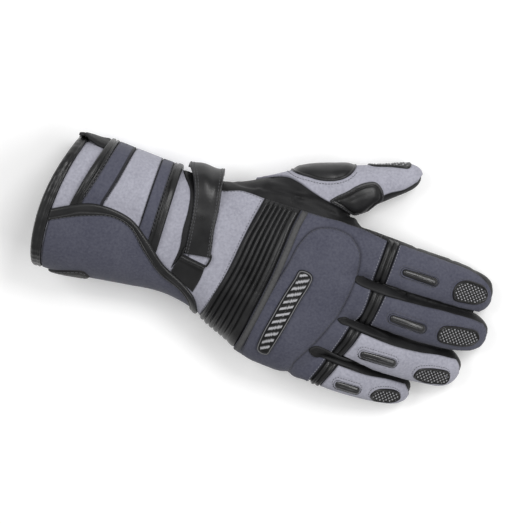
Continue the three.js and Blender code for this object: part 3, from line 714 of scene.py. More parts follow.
# Rows of stitches. Along each line lies a six-sided capsule of thread every `pitch`, its two ends
# dipped into the sheet by a parabola
stitchShape = {
    "along": [-0.5, -0.4, -0.16, 0.16, 0.4, 0.5],
    "round": [0.4, 0.85, 1, 1, 0.85, 0.4],
    "sides": 6,
}


def sewRows(name, lines, finish, kind):
    pitch, gap, thick = sewing[kind]
    firsts, lasts, ups = [], [], []
    for points, normals in lines:
        arc = runOf(points)
        ends = np.linspace(0, arc[-1], max(int(arc[-1] / pitch), 1) + 1)
        firsts.append(valuesAt(ends[:-1] + gap / 2, arc, points))
        lasts.append(valuesAt(ends[1:] - gap / 2, arc, points))
        ups.append(valuesAt((ends[:-1] + ends[1:]) / 2, arc, normals))
    first, last, up = (np.concatenate(group) for group in (firsts, lasts, ups))
    along = last - first
    side = unit(np.cross(unit(up), along))
    up = unit(np.cross(along, side))
    s = stitchShape
    t = np.array(s["along"])[None, :, None]
    turn = np.arange(s["sides"]) * 2 * math.pi / s["sides"]
    width = (np.array(s["round"]) * thick / 2)[None, :, None, None]
    middle = ((first + last) / 2)[:, None] + along[:, None] * t
    middle = middle + up[:, None] * (0.3 * thick * (1 - (2 * t) ** 2))
    ring = side[:, None, None] * np.cos(turn)[:, None] + up[:, None, None] * np.sin(turn)[:, None]
    points = middle[:, :, None] + width * ring
    sides, rings = s["sides"], len(s["along"])
    start = (np.arange(len(first)) * rings * sides)[:, None, None]
    quads = gridQuads(rings, sides, True)[None, :, ::-1] + start
    hexagon = np.arange(sides)[None, None]
    faces = [quads.reshape(-1, 4), (hexagon[..., ::-1] + start).reshape(-1, sides)]
    faces.append((hexagon + start + (rings - 1) * sides).reshape(-1, sides))
    return addPiece(name, meshFrom(name, points.reshape(-1, 3), faces), finish, None)


# Materials

# A colour from hexadecimal to linear light, by the sRGB rule
def linear(hexColour):
    parts = [int(hexColour[i:i + 2], 16) / 255 for i in (1, 3, 5)]
    return [c / 12.92 if c <= 0.04045 else ((c + 0.055) / 1.055) ** 2.4 for c in parts] + [1.0]


# Sets a node's inputs, by name or as in0, in1 and so on. A socket is linked, a node is linked by its
# first output, and text is a colour
def setInputs(node, **inputs):
    for key, value in inputs.items():
        socket = node.inputs[int(key[2:]) if key[2:].isdigit() else key.replace("_", " ")]
        if isinstance(value, bpy.types.Node):
            value = value.outputs[0]
        if isinstance(value, bpy.types.NodeSocket):
            node.id_data.links.new(value, socket)
        else:
            socket.default_value = linear(value) if isinstance(value, str) else value


# Adds a node with its settings and its inputs
def addNode(tree, kind, settings=None, **inputs):
    node = tree.nodes.new("ShaderNode" + kind)
    for key, value in (settings or {}).items():
        setattr(node, key, value)
    setInputs(node, **inputs)
    return node


# A new material, its surface shader and what adds a node to it
def newMaterial(name):
    material = bpy.data.materials.new(name)
    material.use_nodes = True
    tree = material.node_tree
    return material, tree.nodes["Principled BSDF"], partial(addNode, tree)


# Full-grain leather, drum-dyed and waxed: small pebbles between fine creases, a soft gloss that
# breaks up over them, a paler rub along raised edges and painted shade in its folds and grooves
def fullGrainLeather(name, dark, pale, grain=1.3, roughness=0.42, bump=0.5, specular=0.45):
    material, shader, add = newMaterial(name)
    place = add("TexCoord").outputs["Object"]
    warp = add("TexNoise", Vector=place, Scale=1000 / 5.0, Detail=2.0)
    bent = add("MixRGB", {"blend_type": "LINEAR_LIGHT"}, Fac=0.0006, Color1=place,
               Color2=warp.outputs["Color"])
    pebbles = add("TexVoronoi", {"feature": "DISTANCE_TO_EDGE"}, Vector=bent, Scale=1000 / grain)
    creases = add("MapRange", Value=pebbles, From_Min=0.0, From_Max=0.25)
    patches = add("TexNoise", Vector=place, Scale=1000 / 14.0, Detail=4.0)
    shade = add("ValToRGB", Fac=patches)
    for stop, position, colour in zip(shade.color_ramp.elements, (0.3, 0.75), (dark, pale)):
        stop.position = position
        stop.color = linear(colour)
    edge = add("Attribute", {"attribute_name": "edge"}).outputs["Fac"]
    rub = add("MapRange", Value=edge, From_Min=0.2, From_Max=1.1, To_Min=0.22, To_Max=0.0)
    worn = add("MixRGB", Fac=rub, Color1=shade, Color2="#3e3e40")
    # painted shade: the shade attribute darkens folds, grooves and recesses towards near black
    paintedShadeAmount = add("Attribute", {"attribute_name": "shade"}).outputs["Fac"]
    colourWithPaintedShade = add("MixRGB", Fac=paintedShadeAmount, Color1=worn, Color2="#040404")
    gloss = add("MapRange", Value=patches, From_Min=0.3, From_Max=0.7, To_Min=roughness - 0.06,
                To_Max=roughness + 0.08)
    height = add("Math", {"operation": "ADD"}, in0=creases, in1=patches)
    raised = add("Bump", Strength=bump, Distance=0.00025, Height=height)
    setInputs(shader, Base_Color=colourWithPaintedShade, Roughness=gloss, Normal=raised, Specular_IOR_Level=specular,
              IOR=1.5)
    return material


# Textured polyamide, plain weave: two crossing sets of threads, 0.5 mm apart in the real cloth and
# drawn 1.1 mm apart so that they show, with a mottled yarn, a dry surface and a faint sheen
def wovenPolyamide(name, dark, pale, thread=1.1):
    material, shader, add = newMaterial(name)
    place = add("UVMap", {"uv_map": "weave"})
    spot = add("TexCoord").outputs["Object"]
    split = add("SeparateXYZ", Vector=place)
    threads = []
    for axis in ("X", "Y"):
        turn = add("Math", {"operation": "MULTIPLY"}, in0=split.outputs[axis],
                   in1=2 * math.pi / thread)
        threads.append(add("Math", {"operation": "SINE"}, in0=turn))
    crossed = add("Math", {"operation": "MULTIPLY"}, in0=threads[0], in1=threads[1])
    yarn = add("TexNoise", Vector=spot, Scale=1000 / 1.7, Detail=3.0)
    cloud = add("TexNoise", Vector=spot, Scale=1000 / 22.0, Detail=3.0)
    scaled = {"operation": "MULTIPLY_ADD"}
    speckle = add("Math", scaled, in0=yarn, in1=0.93, in2=-0.2)
    mix = add("Math", scaled, in0=cloud, in1=0.45, in2=speckle)
    weft = add("Math", scaled, in0=crossed, in1=0.06, in2=mix)
    shade = add("ValToRGB", Fac=weft)
    for stop, position, colour in zip(shade.color_ramp.elements, (0.2, 0.7), (dark, pale)):
        stop.position = position
        stop.color = linear(colour)
    # darker within 1.4 mm of a border: dirt and painted shade at the seams
    edge = add("Attribute", {"attribute_name": "edge"}).outputs["Fac"]
    seam = add("MapRange", Value=edge, From_Min=0.0, From_Max=1.4, To_Min=0.5, To_Max=0.0)
    colourWithSeamDirtAndShade = add("MixRGB", {"blend_type": "MULTIPLY"}, Fac=seam, Color1=shade, Color2="#6a6a70")
    # the shade attribute darkens towards near black: dark seam strips on the closure stripes, and painted
    # shade in the groove round the knuckle guard
    seamStripsAndPaintedShade = add("Attribute", {"attribute_name": "shade"}).outputs["Fac"]
    colourWithStripsAndShade = add("MixRGB", Fac=seamStripsAndPaintedShade, Color1=colourWithSeamDirtAndShade, Color2="#1c1c1e")
    height = add("Math", scaled, in0=crossed, in1=0.5, in2=yarn)
    raised = add("Bump", Strength=0.35, Distance=0.0002, Height=height)
    setInputs(shader, Base_Color=colourWithStripsAndShade, Roughness=0.82, Normal=raised, Specular_IOR_Level=0.25,
              Sheen_Weight=0.08, Sheen_Roughness=0.5)
    return material


# Moulded thermoplastic rubber: an even satin skin with a faint mottle from the mould, paler where
# the shade attribute says: grey marks on the plate, and a painted highlight, with some rub, on the grip
# pads' bumps
def mouldedRubber(name, colour, paleMarkAndHighlight, roughness):
    material, shader, add = newMaterial(name)
    spot = add("TexCoord").outputs["Object"]
    mottle = add("TexNoise", Vector=spot, Scale=1000 / 0.9, Detail=2.0)
    gloss = add("MapRange", Value=mottle, From_Min=0.3, From_Max=0.7, To_Min=roughness - 0.05,
                To_Max=roughness + 0.07)
    raised = add("Bump", Strength=0.2, Distance=0.0001, Height=mottle)
    high = add("Attribute", {"attribute_name": "shade"}).outputs["Fac"]
    toneWithMarksAndHighlights = add("MixRGB", Fac=high, Color1=colour, Color2=paleMarkAndHighlight)
    setInputs(shader, Base_Color=toneWithMarksAndHighlights, Roughness=gloss, Normal=raised, Specular_IOR_Level=0.4)
    return material


# Brushed polyester fleece and spun thread: matt, with short fibres that catch a little light
def brushedFibre(name, colour, sheen):
    material, shader, add = newMaterial(name)
    spot = add("TexCoord").outputs["Object"]
    nap = add("TexNoise", Vector=spot, Scale=1000 / 0.8, Detail=3.0)
    raised = add("Bump", Strength=0.5, Distance=0.0003, Height=nap)
    setInputs(shader, Base_Color=colour, Roughness=0.9, Normal=raised, Sheen_Weight=sheen,
              Sheen_Roughness=0.6)
    return material


blackLeather = fullGrainLeather(
    "full-grain leather, black", "#1a1a1b", "#282829", roughness=0.47, bump=0.25, specular=0.13)
smoothLeather = fullGrainLeather(
    "smooth leather, black", "#161617", "#232324", grain=0.9, roughness=0.33, bump=0.1, specular=0.36)
greyCloth = wovenPolyamide("woven polyamide, light grey", "#898994", "#a2a2ad")
slateCloth = wovenPolyamide("woven polyamide, slate", "#3e3f4d", "#50515d")
graphiteCloth = wovenPolyamide("woven polyamide, graphite", "#424243", "#525253")
glossyLeather = fullGrainLeather(
    "polished leather, black", "#161617", "#242426", grain=0.8, roughness=0.3, bump=0.02, specular=0.6)
blackRubber = mouldedRubber("moulded rubber, black", "#0b0b0c", "#bcbcc0", 0.4)
fleece = brushedFibre("brushed fleece, black", "#151517", 0.3)
blackThread = brushedFibre("spun polyester thread, charcoal", "#46464a", 0.1)
paleThread = brushedFibre("spun polyester thread, grey", "#8b8b92", 0.1)
print("materials ready")


# The gauntlet: a ring of cloth from the cuff's edge to the wrist, lined with fleece. Its outer
# face is the body's surface with soft waves, and its inner face lies a wall's thickness inside

gauntlet = {"from": -1.0, "to": 108.6, "rings": 54, "sides": 190, "waves": 0.35, "waveLength": 34}


def makeGauntletWall():
    g = gauntlet
    at = np.linspace(g["from"], g["to"], g["rings"])[:, None]
    angle = np.arange(g["sides"])[None] * 360 / g["sides"]
    outer = limbPlace(body, at, angle, 0.0)
    inner = limbPlace(body, at, angle, -wall)
    outwards = unit(outer - inner)
    fade = smoothStep(10, 30, at) * (1 - smoothStep(80, 104, at))
    ripple = (g["waves"] * fade * softWaves(outer, g["waveLength"], 3))[..., None]
    outer = outer + outwards * ripple
    inner = inner + outwards * ripple
    outer[..., 2] = np.maximum(outer[..., 2], 0)
    count = g["rings"] * g["sides"]
    quads = gridQuads(g["rings"], g["sides"], True)
    rim = np.arange(g["sides"])
    after = np.roll(rim, -1)
    last = count - g["sides"]
    rear = np.stack([rim, after, after + count, rim + count], axis=1)
    front = np.stack([after + last, rim + last, rim + last + count, after + last + count], axis=1)
    points = np.concatenate([outer.reshape(-1, 3), inner.reshape(-1, 3)])
    faces = facedOut([quads, quads[:, ::-1] + count, rear, front], quads[0], outer, outwards)
    around = runOf(outer, 1)
    corners = np.stack([np.broadcast_to(at, around.shape), around], axis=-1).reshape(-1, 2)
    edge = np.broadcast_to(np.minimum(at - g["from"], g["to"] - at), around.shape).ravel()
    layers = {"edge": np.concatenate([edge, edge])}
    mesh = meshFrom("gauntletWall", points, faces, np.concatenate([corners, corners]), layers)
    addPiece("gauntletWall", mesh, greyCloth, ["gauntlet_shell"])
    mesh.materials.append(fleece)
    inside = np.zeros(len(mesh.polygons), np.int32)
    inside[len(quads):2 * len(quads)] = 1
    mesh.polygons.foreach_set("material_index", inside)


makeGauntletWall()
print("gauntlet wall ready")


# The leather hand: the body, finger and thumb tubes joined, remeshed and drawn onto the glove's
# surface, creased along a few lines, then parted at the finger and thumb roots as they are sewn

hand = {
    "from": 109.0,
    "voxel": 1.5,
    "fingerRoot": 227,
    "littleRoot": 213,
    "littleSide": -32.9,
    "indexSide": 62,
    "between": [27.4, -3.5, -32.2],  # where the index, middle, ring and little fingers part
    "thumbRoot": [197, 79.5, 29, 18.6],  # a place, a turn in degrees and the reach below it
}
# Folds in the leather on the back: places in the view, depth and half width
backFolds = [
    {"depth": 1.1, "wide": 1.5,
     "line": [[163, 61.2], [172, 63.2], [181, 63.2], [192, 62.3], [203, 61.3]]},
    {"depth": 0.8, "wide": 2.2, "line": [[122, 58], [134, 60.5], [148, 60.5], [160, 59]]},
    {"depth": 0.6, "wide": 2.0, "line": [[142, 66.5], [155, 67.5], [168, 65.2]]},
    {"depth": 0.6, "wide": 2.4, "line": [[110, 54], [120, 55.2], [131, 56.5]]},
    {"depth": 0.9, "wide": 3.2, "line": [[297, 58], [306, 55.5], [313, 49]]},
    {"depth": 0.8, "wide": 1.3, "line": [[112, 57.5], [121, 56.4], [131, 57.6], [141, 60.2]]},
    {"depth": 0.7, "wide": 1.4, "line": [[138, 57.5], [155, 61.5], [172, 60.5], [190, 58.6]]},
    {"depth": -2.3, "wide": 3.2, "fade": [274, 298],
     "line": [[204, 60.5], [216, 58.6], [235, 57.4], [262, 56.9], [282, 56.8], [303, 55]]},
]
# Creases and seams on the palm: depth, half width, and places on the floor seen from below
palmFolds = [
    [1.2, 2.0, [[128, 18], [150, 25], [172, 40], [186, 58]]],
    [0.9, 2.0, [[200, 52], [196, 25], [192, -5], [186, -35], [182, -55]]],
    [0.7, 1.8, [[122, -34], [150, -22], [176, -18]]],
    [0.8, 1.7, [[252, 26], [253, 40], [252, 56]]],
    [0.8, 1.7, [[279, 26], [280, 40], [279, 54]]],
    [0.8, 1.7, [[255, -2], [256, 12], [255, 26]]],
    [0.8, 1.7, [[284, -2], [285, 12], [284, 24]]],
    [0.8, 1.7, [[248, -32], [249, -19], [248, -6]]],
    [0.8, 1.7, [[276, -31], [277, -19], [276, -8]]],
    [0.7, 1.6, [[236, -56], [237, -46], [236, -35]]],
    [0.7, 1.6, [[257, -55], [258, -46], [257, -36]]],
]


# A limb as a tube of rings with a point at each end. Its dome gets rings closer and closer together
def tubeMesh(limb, start, stop, rings, sides):
    at = np.linspace(start, stop, rings)[:, None]
    if stop >= limb["end"]:
        dome = limb["end"] - limb["dome"] * (1 - np.array([0.25, 0.5, 0.7, 0.85, 0.94, 0.985]))
        at = np.concatenate([np.linspace(start, limb["end"] - limb["dome"], rings), dome])[:, None]
    grid = limbPlace(limb, at, np.arange(sides)[None] * 360 / sides)
    points = np.concatenate([grid.reshape(-1, 3), grid[[0, -1]].mean(axis=1)])
    ring, pole = np.arange(sides), len(grid) * sides
    fans = [fanFrom(pole, ring)[:, [0, 2, 1]], fanFrom(pole + 1, ring + pole - sides)]
    return points, [gridQuads(len(grid), sides, True)[:, ::-1], *fans]


# The tubes melted into one skin of even quads and smoothed
def joinedHand():
    points, faces, first = [], [[], []], 0
    tubes = [tubeMesh(body, hand["from"] - 8, 226, 24, 90), tubeMesh(thumb, 2, 141, 24, 48)]
    tubes += [tubeMesh(limb, limb["end"] - 108, limb["end"], 18, 40) for limb in fingerLimbs.values()]
    for tube, groups in tubes:
        points.append(tube)
        faces[0].append(groups[0] + first)
        faces[1] += [group + first for group in groups[1:]]
        first += len(tube)
    faces = [np.concatenate(group) for group in faces]
    mesh = meshFrom("joinedHand", np.concatenate(points), faces)
    source = addObject("joinedHand", mesh)
    remesh = source.modifiers.new("remesh", "REMESH")
    remesh.mode = "VOXEL"
    remesh.voxel_size = hand["voxel"] * 0.001
    smooth = source.modifiers.new("smooth", "SMOOTH")
    smooth.iterations = 6
    found = source.evaluated_get(bpy.context.evaluated_depsgraph_get())
    result = found.to_mesh()
    co = np.empty(len(result.vertices) * 3)
    result.vertices.foreach_get("co", co)
    quads = np.empty(len(result.loops), np.int32)
    result.loops.foreach_get("vertex_index", quads)
    found.to_mesh_clear()
    bpy.data.objects.remove(source)
    bpy.data.meshes.remove(mesh)
    points, quads = co.reshape(-1, 3) * 1000 + frameOrigin, quads.reshape(-1, 4)
    return points, shellFacedOut(points, quads)


# Each fold sinks the skin by depth * exp(-(distance / width)^2). Each part is then doubled, with its
# inner face a wall's thickness inside, and joined along its rim
def makeHandParts():
    points, quads = joinedHand()
    points, normals = settle(points, None, 4)
    facing = normals @ towardsEye
    places = seenAt(points)
    lift = 0.25 * softWaves(points, 26, 5) + 0.12 * softWaves(points, 9, 6)
    lift *= smoothStep(0.5, 4, points[:, 2])
    for fold in backFolds:
        away = lineDistance(places, curveThrough(fold["line"], 30)) / fold["wide"]
        fade = smoothStep(*fold.get("fade", [900, 901]), points[:, 0])
        seen = smoothStep(-0.45, 0.05, facing) * (1 - fade)
        lift -= fold["depth"] * seen * (bell(away) - 0.3 * bell(away, 2))
    for depth, wide, line in palmFolds:
        away = lineDistance(points[:, :2], curveThrough(line, 30)) / wide
        lift -= depth * bell(away) * smoothStep(0.25, -0.35, normals[:, 2])
    points = points + normals * lift[:, None]
    points[:, 2] = np.maximum(points[:, 2], 0)
    middles = points[quads].mean(axis=1)
    h = hand
    fingerTips = (middles[:, 0] > h["fingerRoot"]) & (middles[:, 1] < h["indexSide"])
    fingerTips |= (middles[:, 0] > h["littleRoot"]) & (middles[:, 1] < h["littleSide"])
    x, y, turn, below = h["thumbRoot"]
    turn = math.radians(turn)
    forward = (middles[:, 0] - x) * math.cos(turn) + (middles[:, 1] - y) * math.sin(turn)
    sideways = (middles[:, 1] - y) * math.cos(turn) - (middles[:, 0] - x) * math.sin(turn)
    thumbTip = (forward > 0) & (sideways > -below) & ~fingerTips
    region = np.zeros(len(quads), int)
    region[thumbTip] = 5
    region[fingerTips] = 1 + np.searchsorted(-np.array(h["between"]), -middles[fingerTips, 1])
    region[middles[:, 0] < h["from"]] = -1
    names = ["palm", "index", "middle", "ring", "little", "thumb"]
    nodes = ["palm_shell", "index_finger", "middle_finger", "ring_finger", "little_finger", "thumb_shell"]
    for i, name in enumerate(names):
        own = quads[region == i]
        used, own = np.unique(own, return_inverse=True)
        outer = points[used]
        own = own.reshape(-1, 4)
        if i == 0:
            outer[outer[:, 0] < h["from"] + 0.35 * h["voxel"], 0] = h["from"]
        inner = outer - wall * normals[used]
        inner[:, 2] = np.maximum(inner[:, 2], 0.1)
        count = len(used)
        sides = np.concatenate([own[:, [k, (k + 1) % 4]] for k in range(4)])
        keys = sides.min(axis=1) * count + sides.max(axis=1)
        _, first, times = np.unique(keys, return_index=True, return_counts=True)
        rim = sides[first[times == 1]]
        walls = np.stack([rim[:, 1], rim[:, 0], rim[:, 0] + count, rim[:, 1] + count], axis=1)
        edge = np.full(2 * count, 20.0)
        faces = [own, own[:, ::-1] + count, walls]
        mesh = meshFrom(name + "Leather", np.concatenate([outer, inner]), faces, None, {"edge": edge})
        addPiece(name + "Leather", mesh, blackLeather, [nodes[i]])


makeHandParts()
print("leather hand ready")


# Angle on the little-finger side (or, with `side` 1, the thumb side) of the body at a height
def angleAtHeight(along, height, side=-1):
    rows = sectionsAt(body, np.atleast_1d(np.asarray(along, float)))
    share = np.clip((rows[:, 2] - height) / rows[:, 13], -0.99, 0.99)
    rise = np.degrees(np.arcsin(signedPower(share, rows[:, 14] / 2)))
    return 180 + rise if side < 0 else -rise


# Places [along, angle] on the body for places of the view
def aroundBody(places):
    places = np.asarray(places, float)
    return np.stack([places[:, 0], bodyAngles(places[:, 0], places[:, 1])], axis=1)


# The same curve with its places spread evenly over the body's surface
def spreadOnBody(places, count):
    arc = runOf(roundLimb(places[:, None], body)[0][:, 0])
    return valuesAt(np.linspace(0, arc[-1], count), arc, places)


# A line of the view that goes on down a side to [along, height], as `count` places on the body:
# past the line both along and the angle change evenly, the angle after a first step
def downSide(line, along, height, side, step, more, count):
    seen = aroundBody(line)
    low = angleAtHeight([along], height, side)[0]
    angle = np.linspace(seen[-1, 1] - side * step, low, more)
    turned = np.stack([np.linspace(seen[-1, 0], along, more), angle], axis=1)
    return spreadOnBody(np.concatenate([seen, turned]), count)


# A closed section carried round a closed path: a grid of points that joins both ways
def carriedRound(name, grid, finish, nodes):
    points = grid.reshape(-1, 3)
    quads = shellFacedOut(points, gridQuads(*grid.shape[:2], True, True))
    mesh = meshFrom(name, points, [quads], points[:, :2], {"edge": np.full(len(points), 9.0)})
    return addPiece(name, mesh, finish, nodes)


# The binding round the cuff's edge: a folded strip of leather, its section a flat hook over the
# wall with a crease along the outside, carried round the body

cuffBinding = {
    "sides": 260,
    "around": 46,
    "crease": [2.8, 1.5],
    "outside": [[5.9, 0.35], [5.5, 1.5], [4.5, 2.0], [3.4, 1.95]],
    "nose": [[2.2, 1.95], [1.0, 2.2], [-0.8, 2.1], [-2.2, 1.2], [-2.9, -0.6], [-2.8, -2.6], [-1.9, -3.8]],
    "inside": [[0.5, -4.2], [3.5, -4.1], [5.6, -3.9], [5.9, -3.1], [5.0, -2.55], [1.5, -2.5]],
    "fold": [[-0.8, -2.3], [-1.3, -1.1], [-0.8, 0.2], [1.5, 0.32]],
}


def makeCuffBinding():
    c = cuffBinding
    corners = [*c["outside"], c["crease"], *c["nose"], *c["inside"], *c["fold"]]
    section = curveThrough(corners, c["around"], closed=True)
    angle = np.arange(c["sides"]) * 360 / c["sides"]
    at, lift = section[:, :1], section[:, 1:]
    pucker = 0.12 * np.sin(np.radians(angle) * 41 + 2 * np.sin(np.radians(angle) * 5)) * (lift > 0.8)
    grid = limbPlace(body, np.broadcast_to(at, (c["around"], c["sides"])), angle[None], lift + pucker)
    carriedRound("cuffBinding", grid, smoothLeather, ["cuff_binding"])


makeCuffBinding()


# Padding that presses a sheet up, by cloth simulation: a coarse copy of the sheet's top, larger by
# `scale`, is held along its border and blown up from below with the gravity off. The result is how
# far it rises along its normals, scaled so that no point rises more than `most`
stuffing = {
    "rings": 14,
    "columns": 56,
    "scale": 20.0,
    "pressure": 4.0,
    "slack": -0.04,
    "quality": 6,
    "mass": 0.2,
    "bending": 0.3,
    "frames": 20,
    "least": -0.3,
    "reach": 2.4,
}
rises = {}


def riseOf(name, places, base, normals, top, most):
    s = stuffing
    rows, columns = top.shape
    ring = np.linspace(0, rows - 1, s["rings"]).round().astype(int)
    column = np.linspace(0, columns, s["columns"], endpoint=False).astype(int)
    picked = np.ix_(ring, column)
    over, out = (base + normals * top[..., None])[picked], normals[picked]
    points = np.concatenate([over.reshape(-1, 3), over[0].mean(axis=0)[None]])
    quads = gridQuads(s["rings"], s["columns"], True)
    fan = fanFrom(len(points) - 1, np.arange(s["columns"]))
    quads, fan = facedOut([quads, fan], quads[0], points, out)
    size = 0.001 * s["scale"]
    mesh = bpy.data.meshes.new("stuffed")
    mesh.from_pydata((points * size).tolist(), [], quads.tolist() + fan.tolist())
    cloth = addObject("stuffed", mesh)
    sewn = cloth.vertex_groups.new(name="sewn")
    sewn.add(list(range((s["rings"] - 2) * s["columns"], s["rings"] * s["columns"])), 1.0, "REPLACE")
    settings = cloth.modifiers.new("cloth", "CLOTH").settings
    settings.vertex_group_mass = "sewn"
    settings.use_pressure = True
    settings.uniform_pressure_force = s["pressure"]
    settings.shrink_min = s["slack"]
    settings.effector_weights.gravity = 0
    settings.quality = s["quality"]
    settings.mass = s["mass"]
    settings.bending_stiffness = s["bending"]
    for frame in range(1, s["frames"] + 1):
        bpy.context.scene.frame_set(frame)
    blown = cloth.evaluated_get(bpy.context.evaluated_depsgraph_get())
    result = np.empty(len(points) * 3)
    blown.to_mesh().vertices.foreach_get("co", result)
    blown.to_mesh_clear()
    bpy.data.objects.remove(cloth)
    bpy.data.meshes.remove(mesh)
    bpy.context.scene.frame_set(1)
    moved = (result.reshape(-1, 3) / size - points)[:-1].reshape(over.shape)
    rise = np.sum(moved * out, axis=2)
    rise = rise * min(1, most / max(rise.max(), 1e-6))
    rises[name] = places[picked].reshape(-1, 2), np.maximum(rise, s["least"]).ravel()
    print(f"{name} stuffed: rises up to {rise.max():.2f} mm")


# The rise of a stuffed sheet at any place: the mean of its coarse points, each weighed by
# exp(-(distance / reach)^2)
def riseAt(name, places):
    if name not in rises:
        return 0.0
    known, rise = rises[name]
    flat = places.reshape(-1, 2)
    away = np.sum(flat**2, axis=1)[:, None] + np.sum(known**2, axis=1)[None] - 2 * flat @ known.T
    weight = np.exp(-away / stuffing["reach"] ** 2) + 1e-12
    return ((weight @ rise) / weight.sum(axis=1)).reshape(places.shape[:-1])


# Lays a grid of places on the glove and raises a sheet there. `profile` gives the top height, or
# that and how dark it is, from the places, the distance to the border and the points. `stuffed` is
# how far padding presses it up
def laySheet(name, places, profile, finish, nodes, closed=False, limbs=None, bottom=0.3,
             onBody=False, stuffed=0.0):
    if onBody:
        base, normals = roundLimb(places, body)
    else:
        base, normals = evened(places, *underView(places, limbs), closed, limbs)
    distance = lineDistance(base, borderOf(base, closed))
    top = profile(places, distance, base)
    top, shade = top if isinstance(top, tuple) else (top, 0.0)
    if stuffed:
        riseOf(name, places, base, normals, top, stuffed)
        top = top + riseAt(name, places)
    low = bottom(places, distance, base) if callable(bottom) else bottom
    top = np.maximum(top, low + 0.05)
    return raisedSheet(name, base, normals, top, low, finish, nodes, closed, shade)


# The black gusset on the thumb side, over the end of the binding

cuffGusset = {
    "from": -2.4,
    "to": 24.3,
    "high": [45.2, 45.8],
    "bottomAngle": -25,
    "seam": 3.6,
    "proud": 3.6,
    "rows": 60,
}


def makeCuffGusset():
    g = cuffGusset
    at = np.linspace(g["from"], g["to"], g["rows"])
    across = np.interp(at, [4, g["to"]], g["high"])
    low, high = np.full(len(at), g["bottomAngle"]), bodyAngles(np.maximum(at, 1), across)
    places = ruledGrid(np.stack([at, low], axis=1), np.stack([at, high], axis=1), g["rows"])

    def stand(places):
        low = smoothStep(g["bottomAngle"], 5, places[..., 1])
        return g["proud"] * (1 - smoothStep(3, 19, places[..., 0])) * low

    def profile(places, distance, base):
        seam = bell(places[..., 0], g["seam"], 0.6)
        wrinkles = 0.35 * softWaves(base, 11, 8)
        over = roundedEdge(distance, 0.8, 2.7, 2.6) + stand(places) + wrinkles
        # painted shade in the seam's groove
        return over - 0.5 * seam, 0.8 * seam

    def under(places, distance, base):
        return 0.3 + 2.0 * (1 - smoothStep(6.5, 8.5, places[..., 0])) + 0.6 * stand(places)

    laySheet("cuffGusset", places, profile, blackLeather, ["cuff_gusset"],
             bottom=under, onBody=True)


makeCuffGusset()


# The closure: five bands side by side, from low on the thumb side over the back to the flap. Each
# band lies between two seams, and thins towards the flap's binding, where it tucks in

closure = {
    "lift": 2.9,
    "low": 1.4,
    "tucked": 1.3,
    "tuck": 3.0,
    "gap": 0.15,
    "thumbAngle": -22,
    "seams": [
        [[25, 60], [20, 30], [16.5, 4]],
        [[32, 60], [28, 30], [24, 9]],
        [[46, 60], [42, 30], [38, 12]],
        [[64.5, 60], [65.3, 30], [66, 8]],
        [[73, 60], [74, 28], [75, 0]],
        [[80, 60], [81.5, 28], [83, -5]],
    ],
    "bands": [
        ["closureRearBinding", "closure_rear_binding", "black_leather"],
        ["closureRearStripe", "closure_rear_stripe", "slate_textile"],
        ["closureMiddleStripe", "closure_middle_stripe", "grey_textile"],
        ["closureFrontStripe", "closure_front_stripe", "slate_textile"],
        ["closureFrontBinding", "closure_front_binding", "black_leather"],
    ],
}
flapEdge = [
    [5, -5], [17, 2], [30, 8], [45, 9.5], [60, 7], [75, -2.5], [90, -14], [110, -23], [120, -30],
    [126, -41],
]
flapSeam = [
    [5, -13.5], [16, -7.5], [30, -1], [47, 4], [60, 1.5], [75, -11], [90, -21], [108, -27],
    [117, -33.5], [121, -41],
]
flapEdgeCurve = curveThrough(flapEdge, 200)
flapSeamCurve = curveThrough(flapSeam, 200)


# A seam round the body as [along, angle], from the thumb side to where it tucks under the flap: the
# seam's smooth curve, read some times over at the place where each angle is seen
def closureSeam(seam, count):
    seam = np.asarray(seam, float)[::-1]

    def alongAt(across):
        return smoothThrough(seam[:, 1], seam[:, 0], across)

    across = 5.0
    for _ in range(8):
        across = np.interp(alongAt(across), flapEdgeCurve[:, 0], flapEdgeCurve[:, 1]) - closure["tuck"]
    last = bodyAngles([alongAt(across)], [across])[0]
    angle = np.linspace(closure["thumbAngle"], last, count)
    along = np.full(count, alongAt(30.0))
    for _ in range(4):
        seen = seenAt(limbPlace(body, along, angle))[:, 1]
        along = alongAt(seen)
    return np.stack([along, angle], axis=1)


def makeClosure():
    c = closure
    finishes = {"black_leather": smoothLeather, "slate_textile": slateCloth, "grey_textile": greyCloth}
    seams = [closureSeam(seam, 110) for seam in c["seams"]]
    for i, (name, node, slot) in enumerate(c["bands"]):
        rear, front = seams[i].copy(), seams[i + 1].copy()
        rear[:, 0] += c["gap"]
        front[:, 0] -= c["gap"]
        leather = slot == "black_leather"
        places = ruledGrid(rear, front, 21 if leather else 39)

        def profile(places, distance, base, leather=leather, i=i):
            share = spaced(places.shape[1], 0.75)[None]
            seen = seenAt(base)
            away = lineDistance(seen, flapEdgeCurve)
            edgeAt = np.interp(seen[..., 0], flapEdgeCurve[:, 0], flapEdgeCurve[:, 1])
            away = np.where(seen[..., 1] < edgeAt, 0, away)
            tuck = smoothStep(-1, 8, away)
            high = c["lift"] + (0.6 if leather else 0) + 0.22 * softWaves(base, 22, 20 + i)
            top = roundedEdge(distance, c["low"], high, 1.7 if leather else 1.0)
            shade = 0.0
            if leather:
                crease = bell(share, 0.6 if i == 0 else 0.3, 0.075)
                top = top - 1.1 * crease + 0.16 * softWaves(base, 7, 25 + i)
                # painted shade in the binding's crease
                shade = 0.8 * crease
            elif i == 1:
                shade = 0.85 * smoothStep(0.84, 0.87, share)
                top = top - 0.4 * bell(share, 0.85, 0.02)
            elif i == 3:
                shade = 0.7 * (1 - smoothStep(0.05, 0.08, share))
            return c["tucked"] + (top - c["tucked"]) * tuck, np.broadcast_to(shade, top.shape)

        laySheet(name, places, profile, finishes[slot], [node], onBody=True)


makeClosure()


# The flap on the little-finger side, a single cloth, and the binding sewn round its edge

flap = {"from": 6.4, "to": 121.5, "lowest": 8.0, "waves": 0.45, "waveLength": 38}
flapBinding = {"low": 1.6, "high": 3.3, "crease": 0.66, "frontAt": [125.5, 120.8]}


